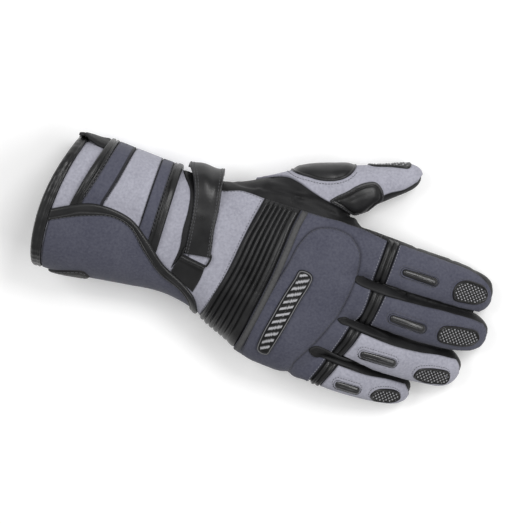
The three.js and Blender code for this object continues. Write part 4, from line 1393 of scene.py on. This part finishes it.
def makeFlap():
    f = flap
    at = np.linspace(f["from"], f["to"], 130)
    middle = (curveThrough(flapEdge, 400) + curveThrough(flapSeam, 400)) / 2
    across = np.interp(at, middle[:, 0], middle[:, 1])
    upper = np.stack([at, bodyAngles(at, across)], axis=1)
    lower = np.stack([at, angleAtHeight(at, f["lowest"])], axis=1)
    places = ruledGrid(upper, lower, 70, 0.5)

    def profile(places, distance, base):
        waves = f["waves"] * softWaves(base, f["waveLength"], 11) * smoothStep(2, 14, distance)
        swell = waves * (distance > 0) + 0.35 * smoothStep(2, 20, distance)
        return roundedEdge(distance, 0.5, 1.5, 1.0) + swell + puckered(base, distance, 12)

    laySheet("cuffFlap", places, profile, slateCloth, ["cuff_flap"], onBody=True)

    lines = zip((flapEdgeCurve, flapSeamCurve), flapBinding["frontAt"])
    edges = [downSide(line, along, f["lowest"], -1, 1.0, 30, 240) for line, along in lines]
    places = ruledGrid(*edges, 19, 0.5)

    def bindingProfile(places, distance, base):
        share = np.linspace(0, 1, places.shape[1])[None]
        crease = 0.5 * bell(share, flapBinding["crease"], 0.06)
        return roundedEdge(distance, flapBinding["low"], flapBinding["high"], 1.9) - crease

    laySheet("cuffFlapBinding", places, bindingProfile, smoothLeather, ["cuff_flap_binding"],
             bottom=flapBinding["low"] - 0.1, onBody=True)


makeFlap()


# The pull tab, a leather loop sewn to the flap's lower edge

pullTab = {
    "top": [[12, -45.2], [22, -42], [32, -38.6], [39, -36.8], [44.5, -38.6]],
    "turn": [[12, 170], [19, 157], [19.2, 360]],  # greatest angle round the cuff at each place along
    "along": [13, 44.5],
    "lowest": 18.0,
    "low": 1.9,
    "high": 3.3,
    "rows": 60,
}


def makePullTab():
    p = pullTab
    top = aroundBody(curveThrough(p["top"], p["rows"]))
    top[:, 1] = np.minimum(top[:, 1], np.interp(top[:, 0], *zip(*p["turn"])))
    at = np.linspace(*p["along"], p["rows"])
    full = np.sin(np.linspace(0, 1, p["rows"]) * math.pi)[:, None] ** 0.6
    low = np.stack([at, angleAtHeight(at, p["lowest"])], axis=1)
    places = ruledGrid(top, top + (low - top) * full, 24)

    def profile(places, distance, base):
        return roundedEdge(distance, p["low"], p["high"], 2.2) - 0.4 * bell(distance, 2.6, 0.35)

    laySheet("pullTab", places, profile, blackLeather, ["pull_tab"],
             bottom=p["low"], onBody=True)


makePullTab()
print("cuff ready")


# The wrist: a grey cloth panel up to the pleats, the strap over it with its backing, the keeper
# that the strap ends in and the anchor beyond it

wristPanel = {
    "rear": [[104, -24], [105, 0], [105, 30], [106, 46]],
    "high": [[106, 46], [112, 46.8], [125, 51.4], [141, 51.8]],
    "front": [[126, -41], [130, -27], [133.2, -12], [135, 3], [136, 15], [138, 33], [141, 51.8]],
    "low": [[104, -24], [112, -26.5], [119, -31], [126, -41]],
    "grid": [48, 90],
    "profile": [0.15, 1.0, 0.8, 0.2, 24, 31],
}
strap = {
    "rear": [[83, 57], [83, 52.4], [84, 49.4], [87.4, 46.2], [93.2, 38.6], [96.8, 27.8], [99.3, 13.8],
             [101.2, 0], [101.2, -2.6]],
    "front": [[109.4, 57], [109.4, 54.5], [111.5, 46], [114.2, 34], [115.9, 20], [118.5, 8],
              [119.8, 0.8]],
    "lowest": 18.0,
    "lift": 3.9,
    "loop": 5.5,
    "grid": [110, 25],
}
keeper = {
    "outer": [[100.2, 1.4], [101, 2.4], [110, 2.9], [119.2, 3.6], [120.4, 2.6], [120.2, -4],
              [119.2, -5.8], [118, -6.4], [110, -6.2], [101, -5.6], [100.2, -4.6]],
    "wire": 1.4,
    "grid": [14, 160],
}
anchor = {
    "rear": [[97, -17], [98.6, -9], [100.2, -3.2]],
    "high": [[100.2, -3.2], [109, -4.1], [118.4, -5.2]],
    "front": [[116.3, -25.5], [118.2, -15], [118.4, -5.2]],
    "low": [[97, -17], [107, -21.5], [116.3, -25.5]],
    "grid": [40, 40],
}
backing = {
    "rear": [[80.8, 51], [84, 47], [90.5, 39.3], [94, 26.8], [95.2, 12.2], [97.3, 0.3], [96.2, -15.5]],
    "front": [[90, 51], [93, 46], [98, 38], [101, 26], [102, 15], [102.5, 4], [101, -3.5]],
    "grid": [90, 15],
    "profile": [0.3, 1.6, 1.6, 0.2, 14, 34],
}


# The profile of a flat piece: a rounded edge, soft waves of the given height, length and seed, and
# puckers at its seams
def flatProfile(low, high, radius, waves, length, seed):
    def profile(places, distance, base):
        top = roundedEdge(distance, low, high, radius) + waves * softWaves(base, length, seed)
        return top + puckered(base, distance, seed + 1, waves)
    return profile


def makeWrist():
    places = fourSided(wristPanel, *wristPanel["grid"])
    laySheet("wristPanel", places, flatProfile(*wristPanel["profile"]), greyCloth,
             ["gauntlet_shell"], limbs=[body, thumb], bottom=0.1)

    lines = [curveThrough(strap[key], 100)[::-1] for key in ("rear", "front")]
    rows, columns = strap["grid"]
    edges = [downSide(line, line[-1, 0], strap["lowest"], 1, 0.5, 40, rows) for line in lines]
    places = ruledGrid(*edges, columns)

    def loopOf(places):
        return strap["loop"] * smoothStep(62, 22, places[..., 1]) * smoothStep(-22, 6, places[..., 1])

    def profile(places, distance, base):
        share = np.linspace(0, 1, places.shape[1])[None]
        crown = 0.35 * np.sin(math.pi * share)
        top = roundedEdge(distance, 1.9, strap["lift"], 1.4)
        fold = 0.14 * loopOf(places) * np.cos(3.6 * math.pi * (share - 0.43))
        return top + crown + loopOf(places) + fold + 0.12 * softWaves(base, 10, 33)

    def under(places, distance, base):
        return 1.75 + loopOf(places)

    laySheet("wristStrap", places, profile, smoothLeather, ["wrist_strap"],
             bottom=under, onBody=True)

    rows, columns = backing["grid"]
    rear, front = (curveThrough(backing[key], rows) for key in ("rear", "front"))
    places = ruledGrid(rear, front, columns)
    laySheet("strapBacking", places, flatProfile(*backing["profile"]), blackLeather,
             ["strap_backing"], limbs=[body])

    def anchorProfile(places, distance, base):
        away = lineDistance(places, anchor["high"])
        fold = 1.9 * bell(away, 1.7, 1.3)
        # painted shade below the fold
        return roundedEdge(distance, 1.1, 1.9, 0.8) + fold, 0.6 * bell(away, 4.6, 0.9)

    laySheet("strapAnchor", fourSided(anchor, *anchor["grid"]), anchorProfile, smoothLeather,
             ["strap_anchor"], limbs=[body], bottom=1.05)

    rings, columns = keeper["grid"]
    outer = curveThrough(keeper["outer"], columns, closed=True)
    inner = outsideOf(outer, -keeper["wire"])
    turn = np.linspace(0, 2 * math.pi, rings, endpoint=False)[:, None, None]
    share = 0.5 - 0.5 * signedPower(np.cos(turn), 0.7)
    places = inner[None] * (1 - share) + outer[None] * share
    base, normals = underView(places, [body])
    rise = 2.5 + 0.75 * signedPower(np.sin(turn), 0.7)
    carriedRound("strapKeeper", base + normals * rise, blackRubber, ["strap_keeper"])


makeWrist()
print("wrist ready")


# The pleats across the hand: rounded ridges with sharp valleys. The last is wider

pleats = {
    "rear": [[142, 51.8], [139.5, 38], [137.2, 25], [134.5, 0], [129.5, -25], [126.2, -40], [122.8, -50]],
    "front": [[166.9, 53.1], [165.2, 40], [164.5, 25], [163.5, 8], [162, -8], [160, -24], [156.8, -48],
              [153.4, -60]],
    "narrow": 6,
    "wide": 1.6,
    "valley": 0.4,
    "crest": 2.7,
    "side": 0.25,
}


def makePleats():
    p = pleats
    edges = np.append(np.arange(p["narrow"] + 1.0), p["narrow"] + p["wide"]) / (p["narrow"] + p["wide"])
    shares = np.linspace(0, 1, 13)[:-1]
    share = np.append(np.tile(shares, len(edges) - 1), 1.0)
    across = np.append((edges[:-1, None] + np.diff(edges)[:, None] * shares).ravel(), 1.0)[None, :, None]
    rear, front = (curveThrough(p[key], 160) for key in ("rear", "front"))
    places = rear[:, None] * (1 - across) + front[:, None] * across
    base, normals = underView(places, [body, thumb])
    run = runOf(base)
    ends = smoothStep(0.3, 3.2, run) * smoothStep(0.3, 4, run[-1:] - run)
    ridge = (np.sin(math.pi * share) ** 0.45 * (1 - 0.2 * np.cos(math.pi * share)))[None]
    side = p["side"] + (1 - p["side"]) * smoothStep(-53, -34, places[..., 1])
    height = p["valley"] + (p["crest"] - p["valley"]) * ridge * (0.2 + 0.8 * ends) * side
    height += 0.12 * softWaves(base, 15, 41) + 0.06 * softWaves(base, 4, 42)
    # painted shade: darker into each valley between the ridges
    shade = 1 - smoothStep(0.15, 0.5, ridge)
    raisedSheet("pleatedPanel", base, normals, height, 0.3, smoothLeather, ["rib_panel"],
                shade=np.broadcast_to(shade, height.shape))


makePleats()


# The back of the hand: one slate cloth from the pleats to the fingers, with a padded roll along
# its rear edge. The knuckle guard is a shell under cloth, domed up from a groove round it

backPanel = {
    "rear": [[153, -62], [157.2, -48], [160.4, -24], [162.4, -8], [163.9, 8], [164.9, 25], [165.6, 40],
             [167.3, 53]],
    "high": [[167.3, 53], [184, 53.9], [200, 54.6], [215, 54], [231, 52.6]],
    "front": [
        [211, -63], [213.5, -57], [216, -50], [219.5, -39.5], [222, -31], [224.5, -22], [227, -12.5],
        [231.5, -3], [232.5, 8], [232, 17], [231, 27], [231, 40], [231, 52.6],
    ],
    "low": [[153, -62], [182, -64.5], [211, -63]],
    "grid": [84, 120],
    "edge": [0.5, 1.6, 1.0],
}
backRoll = {
    "rear": [[168.2, 53.2], [166.5, 40], [165.7, 25], [164.7, 8], [163.2, -8], [161.3, -24],
             [158.1, -46], [156.2, -57]],
    "front": [[172.6, 52.9], [171, 40], [170.2, 25], [169.2, 8], [167.6, -8], [165.6, -24],
              [162.2, -46], [160.2, -57]],
    "rise": 1.7,
    "low": 1.55,
    "grid": [120, 21],
}
knuckleGuard = {
    "outline": [
        [163.5, -60], [163, -44], [164.2, -25], [167.5, -4], [171.5, 15], [174.2, 31], [180.5, 43],
        [193, 48.3], [206, 47.3], [215.5, 40], [219, 22], [217.5, 0], [212, -20], [204, -37],
        [197.5, -50], [194, -60], [180, -62],
    ],
    "middle": [191, -4],
    "low": 1.7,
    "rise": 2.0,
    "shoulder": 9.0,
    "side": [-57, -36, 0.3],
    "stuffed": 1.3,
    "grid": [180, 60],
}
guardCurve = curveThrough(knuckleGuard["outline"], 200, closed=True)
guardCurve = np.concatenate([guardCurve, guardCurve[:1]])


# Fills the hollow where the side of the little finger joins the hand: a bump of exp(-(x / 7)^2)
def sideFill(places):
    low = 1 - smoothStep(-56, -46, places[..., 1])
    return 1.7 * low * bell(places[..., 0], 199, 7)


# Height of the knuckle guard: a quarter sine wave up its shoulder, to the power of 0.8, with the
# rise of its padding
def guardHeight(places):
    away = lineDistance(places, guardCurve)
    share = np.clip(away / knuckleGuard["shoulder"], 0, 1)
    low, high, least = knuckleGuard["side"]
    side = least + (1 - least) * smoothStep(low, high, places[..., 1])
    shell = knuckleGuard["low"] + knuckleGuard["rise"] * side * np.sin(share * math.pi / 2) ** 0.8
    return shell + riseAt("knuckleGuard", places) + sideFill(places)


def makeBackOfHand():
    b, r, k = backPanel, backRoll, knuckleGuard
    places = fourSided(b, *b["grid"])

    def profile(places, distance, base):
        groove = bell(lineDistance(places, guardCurve), 0, 1.1) * smoothStep(-57, -50, places[..., 1])
        top = roundedEdge(distance, *b["edge"]) - 0.5 * groove + 0.22 * softWaves(base, 17, 51)
        # painted shade in the groove round the knuckle guard
        return top + puckered(base, distance, 54) + sideFill(places), 0.4 * groove

    laySheet("backPanel", places, profile, slateCloth, ["back_panel"])

    def rollProfile(places, distance, base):
        share = np.linspace(-1, 1, places.shape[1])[None]
        ends = np.sqrt(smoothStep(0, 4, 52.8 - places[..., 1])) * smoothStep(-56, -38, places[..., 1])
        swell = r["rise"] * np.sqrt(1 - share * share) + 0.1 * softWaves(base, 12, 53)
        return r["low"] + swell * ends

    rows, columns = r["grid"]
    places = ruledGrid(curveThrough(r["rear"], rows), curveThrough(r["front"], rows), columns, 1.0)
    laySheet("backRoll", places, rollProfile, graphiteCloth, ["back_panel"],
             bottom=r["low"] - 0.1)

    around, rings = k["grid"]
    places = ringGrid(curveThrough(k["outline"], around, closed=True), rings, k["middle"])

    def guardProfile(places, distance, base):
        return guardHeight(places) + 0.12 * softWaves(base, 30, 52)

    laySheet("knuckleGuard", places, guardProfile, slateCloth, ["knuckle_guard"],
             closed=True, bottom=1.6, stuffed=k["stuffed"])


makeBackOfHand()


# A plain moulded plate on the knuckle guard: a rim round a field of slanting bars

plate = {
    "outline": [
        [171.6, -45.6], [173.5, -47.2], [178, -47.6], [180.4, -46.6], [181.6, -42], [185, -25],
        [188.4, -5], [191, 8], [191, 12.4], [189, 14.6], [183, 15.4], [180.4, 14.2], [179, 8],
        [176, -5], [173.4, -20], [171, -38],
    ],
    "middle": [181, -16],
    "high": 1.7,
    "rim": 1.5,
    "pitch": 4.6,
    "lean": 0.55,
    "grid": [220, 40],
}


def makePlate():
    p = plate
    around, rings = p["grid"]
    places = ringGrid(curveThrough(p["outline"], around, closed=True), rings, p["middle"])

    def profile(places, distance, base):
        run = (places[..., 1] - p["lean"] * (places[..., 0] - p["middle"][0])) / p["pitch"]
        bars = smoothStep(0.1, 0.55, np.sin(2 * math.pi * run))
        inside = smoothStep(p["rim"], p["rim"] + 0.5, distance)
        field = 1.0 + 0.6 * bars * smoothStep(p["rim"] + 0.6, p["rim"] + 1.1, distance)
        height = (1 - inside) * p["high"] + inside * field
        pale = 0.75 * smoothStep(1.25, 1.55, field) * inside + 0.4 * bell(distance, 0.9, 0.25)
        return guardHeight(places) + roundedEdge(distance, 0.1, 1.0, 0.5) * height, pale

    def under(places, distance, base):
        return guardHeight(places) + 0.05

    laySheet("backPlate", places, profile, blackRubber, ["badge"], closed=True,
             bottom=under)


makePlate()


# The tongues of black leather that run in between the fingers

tongues = {
    "tongueIndexMiddle": ["fourchette_index_middle", [
        [266, 22.6], [254, 24.8], [243, 25.7], [232, 25.8], [224, 25.8], [219.6, 24.6], [218, 21.5],
        [219.6, 18.4], [224, 17.2], [232, 16.8], [243, 16.9], [254, 18.4], [266, 21.4]]],
    "tongueMiddleRing": ["fourchette_middle_ring", [
        [264, -8.6], [252, -6.3], [243, -5], [234, -4.8], [226, -4.8], [220.5, -5.2], [216.4, -9.2],
        [220, -11.9], [226, -12.4], [234, -12.9], [243, -13], [252, -12], [264, -9.8]]],
    "tongueRingLittle": ["fourchette_ring_little", [
        [253, -35.6], [241, -33.4], [232, -32.2], [222, -31.2], [213, -30.6], [208.6, -31.4],
        [205.4, -35.8], [209, -38.5], [215, -39.1], [223, -39.6], [232, -39.6], [241, -38.7],
        [253, -36.8]]],
}


def makeTongues():
    for name, (node, outline) in tongues.items():
        outline = curveThrough(outline, 150, closed=True)
        front, rear = outline[:, 0].max(), outline[:, 0].min()
        ends = outline[[outline[:, 0].argmin(), outline[:, 0].argmax()], 1]
        across = np.interp(outline[:, 0], [rear, front], ends)
        middle = np.stack([np.clip(outline[:, 0], rear + 4.2, front - 1), across], axis=1)
        places = ringGrid(outline, 22, middle)

        def under(places, distance, base, front=front):
            return 1.65 - 3.4 * smoothStep(front - 28, front - 3, places[..., 0])

        def profile(places, distance, base, under=under):
            height = roundedEdge(distance, 0.1, 1.35, 1.1) + 0.1 * softWaves(base, 8, 55)
            return under(places, distance, base) + height

        laySheet(name, places, profile, blackLeather, [node], closed=True, bottom=under)


makeTongues()
print("back of the hand ready")


# The fingers: a leather flex band with two ribs, a cloth back to the tip, a padded bar sewn
# across it and a gripping pad near the tip

fingerPieces = {
    "index": {
        "cloth": "slate_textile",
        "band": [[[231.3, 54.2], [231.2, 40], [231.3, 24]], [[239.4, 54.2], [239.5, 40], [239.4, 24]]],
        "rear": [[239.6, 25.8], [239.6, 40], [239.6, 53.2]],
        "high": [[239.6, 53.2], [258, 53.4], [279, 53.6], [294, 53.4], [302, 51.8], [308, 49.2]],
        "front": [[308.5, 29.8], [312.6, 34], [313.9, 39.6], [312, 45.2], [308, 49.2]],
        "low": [[239.6, 25.8], [270, 26.6], [295, 28.1], [308.5, 29.8]],
        "bar": [[249.9, 37.4], [270.2, 38.1], 3.5],
        "pad": [[285.1, 36], [286.1, 42.6], [290.5, 46.2], [299.4, 47.3], [306.1, 46.5],
                [309.2, 43.4], [309.2, 38], [305.5, 34.4], [295.4, 32], [287.6, 31.8]],
    },
    "middle": {
        "cloth": "slate_textile",
        "band": [[[231.6, -5.5], [233, 8], [233.3, 18]], [[239.4, -5.5], [241, 5], [242, 18]]],
        "rear": [[239.8, -4.4], [241, 5], [242.2, 16.8]],
        "high": [[242.2, 16.8], [265, 18.7], [285, 20.8], [305, 22.2], [314.6, 22]],
        "front": [[312.5, 2], [317.8, 6.5], [320, 12.4], [318.5, 18.4], [314.6, 22]],
        "low": [[239.8, -4.4], [270, -4.2], [290, -3], [304, -0.4], [312.5, 2]],
        "bar": [[252.8, 4.9], [273.6, 5.2], 3.5],
        "pad": [[285.4, 5], [286.9, 11], [292.5, 13.6], [303.4, 15.7], [311.5, 16], [314.8, 12.6],
                [312.4, 6.6], [305.8, 3.3], [296.8, 1.6], [287.6, 1.5]],
    },
    "ring": {
        "cloth": "grey_textile",
        "band": [[[222, -32], [225.5, -22], [227.4, -11.8]],
                 [[229.2, -32.4], [233.3, -22], [235.9, -11.8]]],
        "rear": [[229.8, -31.4], [233.4, -22], [236, -13]],
        "high": [[236, -13], [260, -13.6], [280, -11.6], [292, -9.3], [305.6, -8]],
        "front": [[302.5, -28.8], [308.6, -23.5], [311, -17], [309.6, -11.5], [305.6, -8]],
        "low": [[229.8, -31.8], [260, -33.6], [285, -32.4], [295, -30.8], [302.5, -28.8]],
        "bar": [[242.4, -25.5], [263.4, -24.3], 3.3],
        "pad": [[280.6, -28], [281.7, -22.6], [288, -19.2], [296.3, -17.2], [303, -17],
                [305.4, -20.2], [304.3, -25], [297, -27.6], [287, -29.2]],
    },
    "little": {
        "cloth": "grey_textile",
        "band": [[[214.6, -58], [218.5, -46], [220.4, -38.6]], [[221.3, -58], [226, -47], [229, -38.6]]],
        "rear": [[221.5, -58.5], [226.2, -47], [229, -39.8]],
        "high": [[229, -39.8], [250, -39.5], [264, -37.4], [278, -36.4]],
        "front": [[275, -52.4], [281.4, -47.6], [283.2, -41.6], [278, -36.4]],
        "low": [[221.5, -58.9], [235, -59.2], [250, -58.6], [264, -56.4], [275, -52.4]],
        "bar": [[233.2, -51.5], [246.8, -50.8], 2.9],
        "pad": [[257, -51], [259.4, -46.4], [265, -43.6], [275.4, -42.6], [278, -46], [275, -49.8],
                [267, -52.3], [258.6, -53]],
    },
}
gripPad = {"low": 1.7, "high": 2.4, "bump": 0.7, "pitch": 1.35, "grid": [180, 54]}
fingerGrids = {"band": [70, 33], "back": [90, 44], "bar": [150, 30]}


# Rows of small rounded bumps, every second row moved by half a pitch
def gripBumps(places, pitch):
    x, y = places[..., 0] / pitch, places[..., 1] / pitch
    return np.abs(np.cos(math.pi * (x + y) / 2) * np.cos(math.pi * (x - y) / 2)) ** 1.3


# A rubber pad: a rim of exp(-((distance - 0.8) / 0.45)^2) round a lower field of bumps
def makeGripPad(name, node, outline, limbs):
    g = gripPad
    around, rings = g["grid"]
    places = ringGrid(curveThrough(outline, around, closed=True), rings)

    def profile(places, distance, base):
        inside = smoothStep(1.2, 2.0, distance)
        bumps = gripBumps(places, g["pitch"]) * inside
        rim = 0.35 * bell(distance, 0.8, 0.45)
        height = roundedEdge(distance, g["low"], g["high"], 0.6) + rim + g["bump"] * bumps - 0.4 * inside
        # the bumps' tops are painted pale: a painted highlight, with some rub
        return height, 0.75 * smoothStep(0.45, 0.95, bumps)

    laySheet(name, places, profile, blackRubber, [node], closed=True, limbs=limbs,
             bottom=1.65)


def makeFingers():
    for number, (name, p) in enumerate(fingerPieces.items()):
        limbs = [fingerLimbs[name]]
        rows, columns = fingerGrids["band"]
        rear, front = (curveThrough(edge, rows, 0.3) for edge in p["band"])

        def bandProfile(places, distance, base):
            share = np.linspace(0, 1, places.shape[1])[None]
            run = np.arange(len(places))[:, None]
            run = np.minimum(run, run[::-1])
            ribs = np.abs(np.sin(2 * math.pi * share)) ** 0.7
            ends = smoothStep(0, 1.2, distance) * smoothStep(0, 9, run)
            height = roundedEdge(distance, 0.4, 1.2, 0.7) + 1.2 * ribs * ends
            # painted shade in the valleys between the ribs
            return height, np.broadcast_to(1 - smoothStep(0.2, 0.8, ribs), height.shape)

        laySheet(name + "FlexBand", ruledGrid(rear, front, columns, 0.2), bandProfile, smoothLeather,
                 [name + "_flex_band"], limbs=limbs)

        cloth = slateCloth if p["cloth"] == "slate_textile" else greyCloth

        def backProfile(places, distance, base, number=number):
            puff = 0.5 * smoothStep(0, 9, distance) + 0.22 * softWaves(base, 16, 60 + number)
            return roundedEdge(distance, 0.4, 1.4, 0.9) + puff + puckered(base, distance, 65 + number)

        laySheet(name + "Back", fourSided(p, *fingerGrids["back"]), backProfile, cloth,
                 [name + "_back"], limbs=limbs)

        around, rings = fingerGrids["bar"]
        outline, line = roundedBar(*p["bar"], around)
        rear, front = p["bar"][0][0], p["bar"][1][0]

        def barProfile(places, distance, base, half=p["bar"][2], rear=rear, front=front):
            run = (places[..., 0] - rear) / (front - rear)
            rod = half * (0.66 + 0.16 * smoothStep(-0.2, 0.6, run))
            away = np.clip((half - distance) / rod, 0, 1)
            pill = 0.9 * rod * np.sqrt(1 - away**2)
            recess = smoothStep(0.1, 0.5, distance)
            # painted shade in the recess round the rod
            return 2.2 - 0.8 * recess + pill, 1 - smoothStep(0.02, 0.16, 1 - away)

        laySheet(name + "Bar", ringGrid(outline, rings, line), barProfile, glossyLeather, [name + "_bar"],
                 closed=True, limbs=limbs, bottom=1.65)
        makeGripPad(name + "TipPad", name + "_tip_pad", p["pad"], limbs)


makeFingers()
print("fingers ready")


# The thumb: a grey cloth back with two padded leather patches and a gripping strip at the tip

thumbPieces = {
    "low": [[130.5, 63], [136, 65.6], [146, 70], [152, 71.2], [160, 70.2], [170, 67.6], [182, 65.2],
            [197, 65], [206, 69.5], [219, 84], [230, 92], [236.5, 99.5]],
    "high": [[130.5, 63.6], [133, 68], [140, 76], [149, 83], [155, 87], [165, 91], [175, 95.5],
             [185, 100], [199, 105], [215, 111.5], [229, 114], [238.5, 106]],
    "knuckle": [[149, 78.2], [154.5, 75.2], [165, 75.3], [174, 76.3], [182, 79], [189.5, 84],
                [193.3, 90], [193.8, 96], [191, 101.5], [178, 96.5], [165, 91.5], [153, 85.5]],
    "side": [[183.8, 66], [187, 70.5], [193, 76.3], [198, 82], [203.5, 86.3], [209.3, 88.6], [214, 86.8],
             [217.6, 81.5], [213.5, 75], [208, 68.5], [201.5, 63.8], [192, 64.6]],
    "tip": [[199.3, 99], [203, 97.6], [209, 98.9], [216, 101.3], [223, 103.2], [228.3, 105],
            [229.3, 108], [226, 110.5], [213, 106.8], [204, 103]],
    "stuffed": {"knuckle": 0.9, "side": 0.7},
    "grid": {"back": [150, 46], "pad": [150, 34]},
    "profile": [0.4, 1.5, 1.0, 0.25, 15, 71],
}


def makeThumb():
    limbs = [body, thumb]
    t = thumbPieces
    rows, columns = t["grid"]["back"]
    places = ruledGrid(curveThrough(t["low"], rows), curveThrough(t["high"], rows), columns, 0.5)
    laySheet("thumbBack", places, flatProfile(*t["profile"]), greyCloth, ["thumb_back"],
             limbs=limbs)

    def paddedProfile(places, distance, base):
        swell = 1.5 * np.sin(np.clip((distance - 1.2) / 6, 0, 1) * math.pi / 2)
        piping = 0.7 * bell(distance, 0.7, 0.5)
        height = 1.7 + roundedEdge(distance, 0, 0.5, 0.5) + swell + piping + 0.14 * softWaves(base, 8, 72)
        # painted shade in the valley inside the piping
        return height, 0.9 * bell(distance, 1.6, 0.4)

    def stitchedProfile(places, distance, base):
        swell = 1.2 * np.sin(np.clip((distance - 2.6) / 5, 0, 1) * math.pi / 2)
        groove = bell(distance, 2.5, 0.45)
        height = roundedEdge(distance, 1.7, 2.5, 0.7) + swell - 0.5 * groove
        # painted shade in the stitched groove
        return height + 0.16 * softWaves(base, 8, 73), 0.8 * groove

    around, rings = t["grid"]["pad"]
    for key, profile in (("knuckle", paddedProfile), ("side", stitchedProfile)):
        places = ringGrid(curveThrough(t[key], around, closed=True), rings)
        laySheet(f"thumb{key.title()}Pad", places, profile, smoothLeather, [f"thumb_{key}_pad"],
                 closed=True, limbs=limbs, bottom=1.6, stuffed=t["stuffed"][key])
    makeGripPad("thumbTipPad", "thumb_tip_pad", t["tip"], limbs)


makeThumb()
print("thumb ready")


# Stitches: two rows along each side of the strap, rows beside the seams of the cloths, and a row
# round each padded piece

# The pitch, the gap and the thickness of each kind of stitch, and the rows along the strap's sides
sewing = {
    "strap": [2.4, 0.8, 0.5],
    "cuff": [2.8, 0.9, 0.5],
    "cloth": [2.2, 0.8, 0.4],
    "finger": [2.0, 0.7, 0.4],
    "thumb": [2.0, 0.7, 0.5],
    "sidePad": [2.4, 0.8, 0.45],
    "strapRows": [1.7, 3.6],
    "roundBar": 1.1,
    "roundPad": 0.7,
    "roundKnuckle": 1.3,
}


def makeStitches():
    s = sewing
    rows = [insideBorder("wristStrap", side, inset) for side in (2, 3) for inset in s["strapRows"]]
    sewRows("strapStitches", rows, blackThread, "strap")

    places = [["closureRearStripe", 2, 1.2], ["closureFrontStripe", 3, 1.2],
              ["closureRearBinding", 3, 1.3], ["closureFrontBinding", 2, 1.0]]
    rows = [insideBorder(*place, 0.02, 0.93) for place in places]
    rows += [insideBorder("cuffFlapBinding", 3, 1.0, 0.02, 0.98)]
    rows += [insideBorder("pullTab", side, 1.9, 0.1, 0.9) for side in (2, 3)]
    sewRows("closureStitches", rows, blackThread, "cuff")

    rows = [insideBorder("closureMiddleStripe", side, 1.2, 0.02, 0.93) for side in (2, 3)]
    rows += [insideBorder("wristPanel", 1, 2.0), insideBorder("wristPanel", 3, 1.6, 0.1, 1)]
    sewRows("wristStitches", rows, blackThread, "cloth")

    rows = [insideBorder("backPanel", 1, 1.7, 0.06, 0.97)]
    sewRows("backStitches", rows, paleThread, "cloth")
    rows = [insideBorder("backRoll", 2, 0.9), insideBorder("knuckleGuard", 1, 1.0)]
    rows += [insideBorder("backPanel", 3, 1.5, 0.05, 0.9)]
    sewRows("guardStitches", rows, blackThread, "cloth")

    rows = []
    for name, p in fingerPieces.items():
        bar = outsideOf(roundedBar(*p["bar"], 150)[0], s["roundBar"])
        pad = outsideOf(curveThrough(p["pad"], 120, closed=True), s["roundPad"])
        rows += [closedLine(onTops([name + "Back"], line)) for line in (bar, pad)]
    sewRows("fingerStitches", rows, blackThread, "finger")
    rows = [insideBorder(name + "Back", 0, 1.4, 0.05, 0.95) for name in fingerPieces]
    sewRows("bandStitches", rows, paleThread, "cloth")

    # the row round the knuckle pad leaves out its side towards the thumb's outer edge
    knuckle = outsideOf(curveThrough(thumbPieces["knuckle"], 150, closed=True), s["roundKnuckle"])
    low = knuckle[:, 1] - np.interp(knuckle[:, 0], [149, 194], [78, 90])
    start = int(np.argmax(low > 1.5))
    knuckle, low = np.roll(knuckle, -start, axis=0), np.roll(low, -start)
    rows = [onTops(["thumbBack"], knuckle[low < 1.5]), insideBorder("thumbBack", 0, 1.4, 0.02, 0.98)]
    sewRows("thumbStitches", rows, blackThread, "thumb")
    rows = [closedLine(insideBorder("thumbSidePad", 1, 1.6))]
    sewRows("sidePadStitches", rows, blackThread, "sidePad")


makeStitches()
print("stitches ready")


# Floor, light and camera

stage = {
    "floor": "#ffffff",
    "glow": 0.07,
    "world": 0.37,
    # each lamp's place and size in metres, and its power in watts
    "lamps": {
        "stripLight": [(0.85, 0.3, 1.15), (0.16, 1.2), 8.0],
        "keyLight": [(0.3, 0.9, 1.25), (0.5, 0.5), 8.8],
        "fillLight": [(-0.95, 0.25, 1.25), (0.7, 0.7), 7.4],
    },
    "target": [154.3, 10.0],
    "roll": 20,
    "width": 366.8,
    "distance": 2.0,
}


# A white floor, an even white sky and three lamps that look at the middle of the floor
def makeStage():
    bpy.ops.mesh.primitive_plane_add(size=8)
    floor = bpy.context.active_object
    floor.name = "floor"
    material, shader, _ = newMaterial("matt painted board, white")
    setInputs(shader, Base_Color=stage["floor"], Roughness=0.9, Specular_IOR_Level=0.1,
              Emission_Color=stage["floor"], Emission_Strength=stage["glow"])
    floor.data.materials.append(material)
    world = bpy.data.worlds.new("studio")
    world.use_nodes = True
    sky = world.node_tree.nodes["Background"]
    setInputs(sky, Color=(1, 1, 1, 1), Strength=stage["world"])
    bpy.context.scene.world = world
    for name, (place, size, power) in stage["lamps"].items():
        light = bpy.data.lights.new(name, "AREA")
        light.shape = "RECTANGLE"
        light.size, light.size_y = size
        light.energy = power
        lamp = addObject(name, light)
        back = mathutils.Vector(place).normalized()
        right = mathutils.Vector((0, 1, 0)).cross(back).normalized()
        turned = mathutils.Matrix([right, back.cross(right), back]).transposed()
        lamp.matrix_world = mathutils.Matrix.Translation(place) @ turned.to_4x4()


# The camera looks along the lean at the target, turned by the roll, so that `width` fills the view
def makeCamera():
    u, v = stage["target"]
    target = np.array([u, v * math.cos(lean), viewHeight - v * math.sin(lean)])
    target = (target - frameOrigin) * 0.001
    roll = math.radians(stage["roll"])
    right = math.cos(roll) * np.array([1.0, 0, 0]) + math.sin(roll) * acrossView
    up = np.cross(towardsEye, right)
    place = target + towardsEye * stage["distance"]
    camera = addObject("camera", bpy.data.cameras.new("camera"))
    turned = np.stack([right, up, towardsEye, place], axis=1)
    camera.matrix_world = mathutils.Matrix([*turned.tolist(), [0, 0, 0, 1]])
    camera.data.sensor_width = 36
    camera.data.lens = 36 * stage["distance"] / (stage["width"] * 0.001)
    bpy.context.scene.camera = camera


makeStage()
makeCamera()
bpy.context.scene.view_settings.view_transform = "Standard"
print("stage ready")
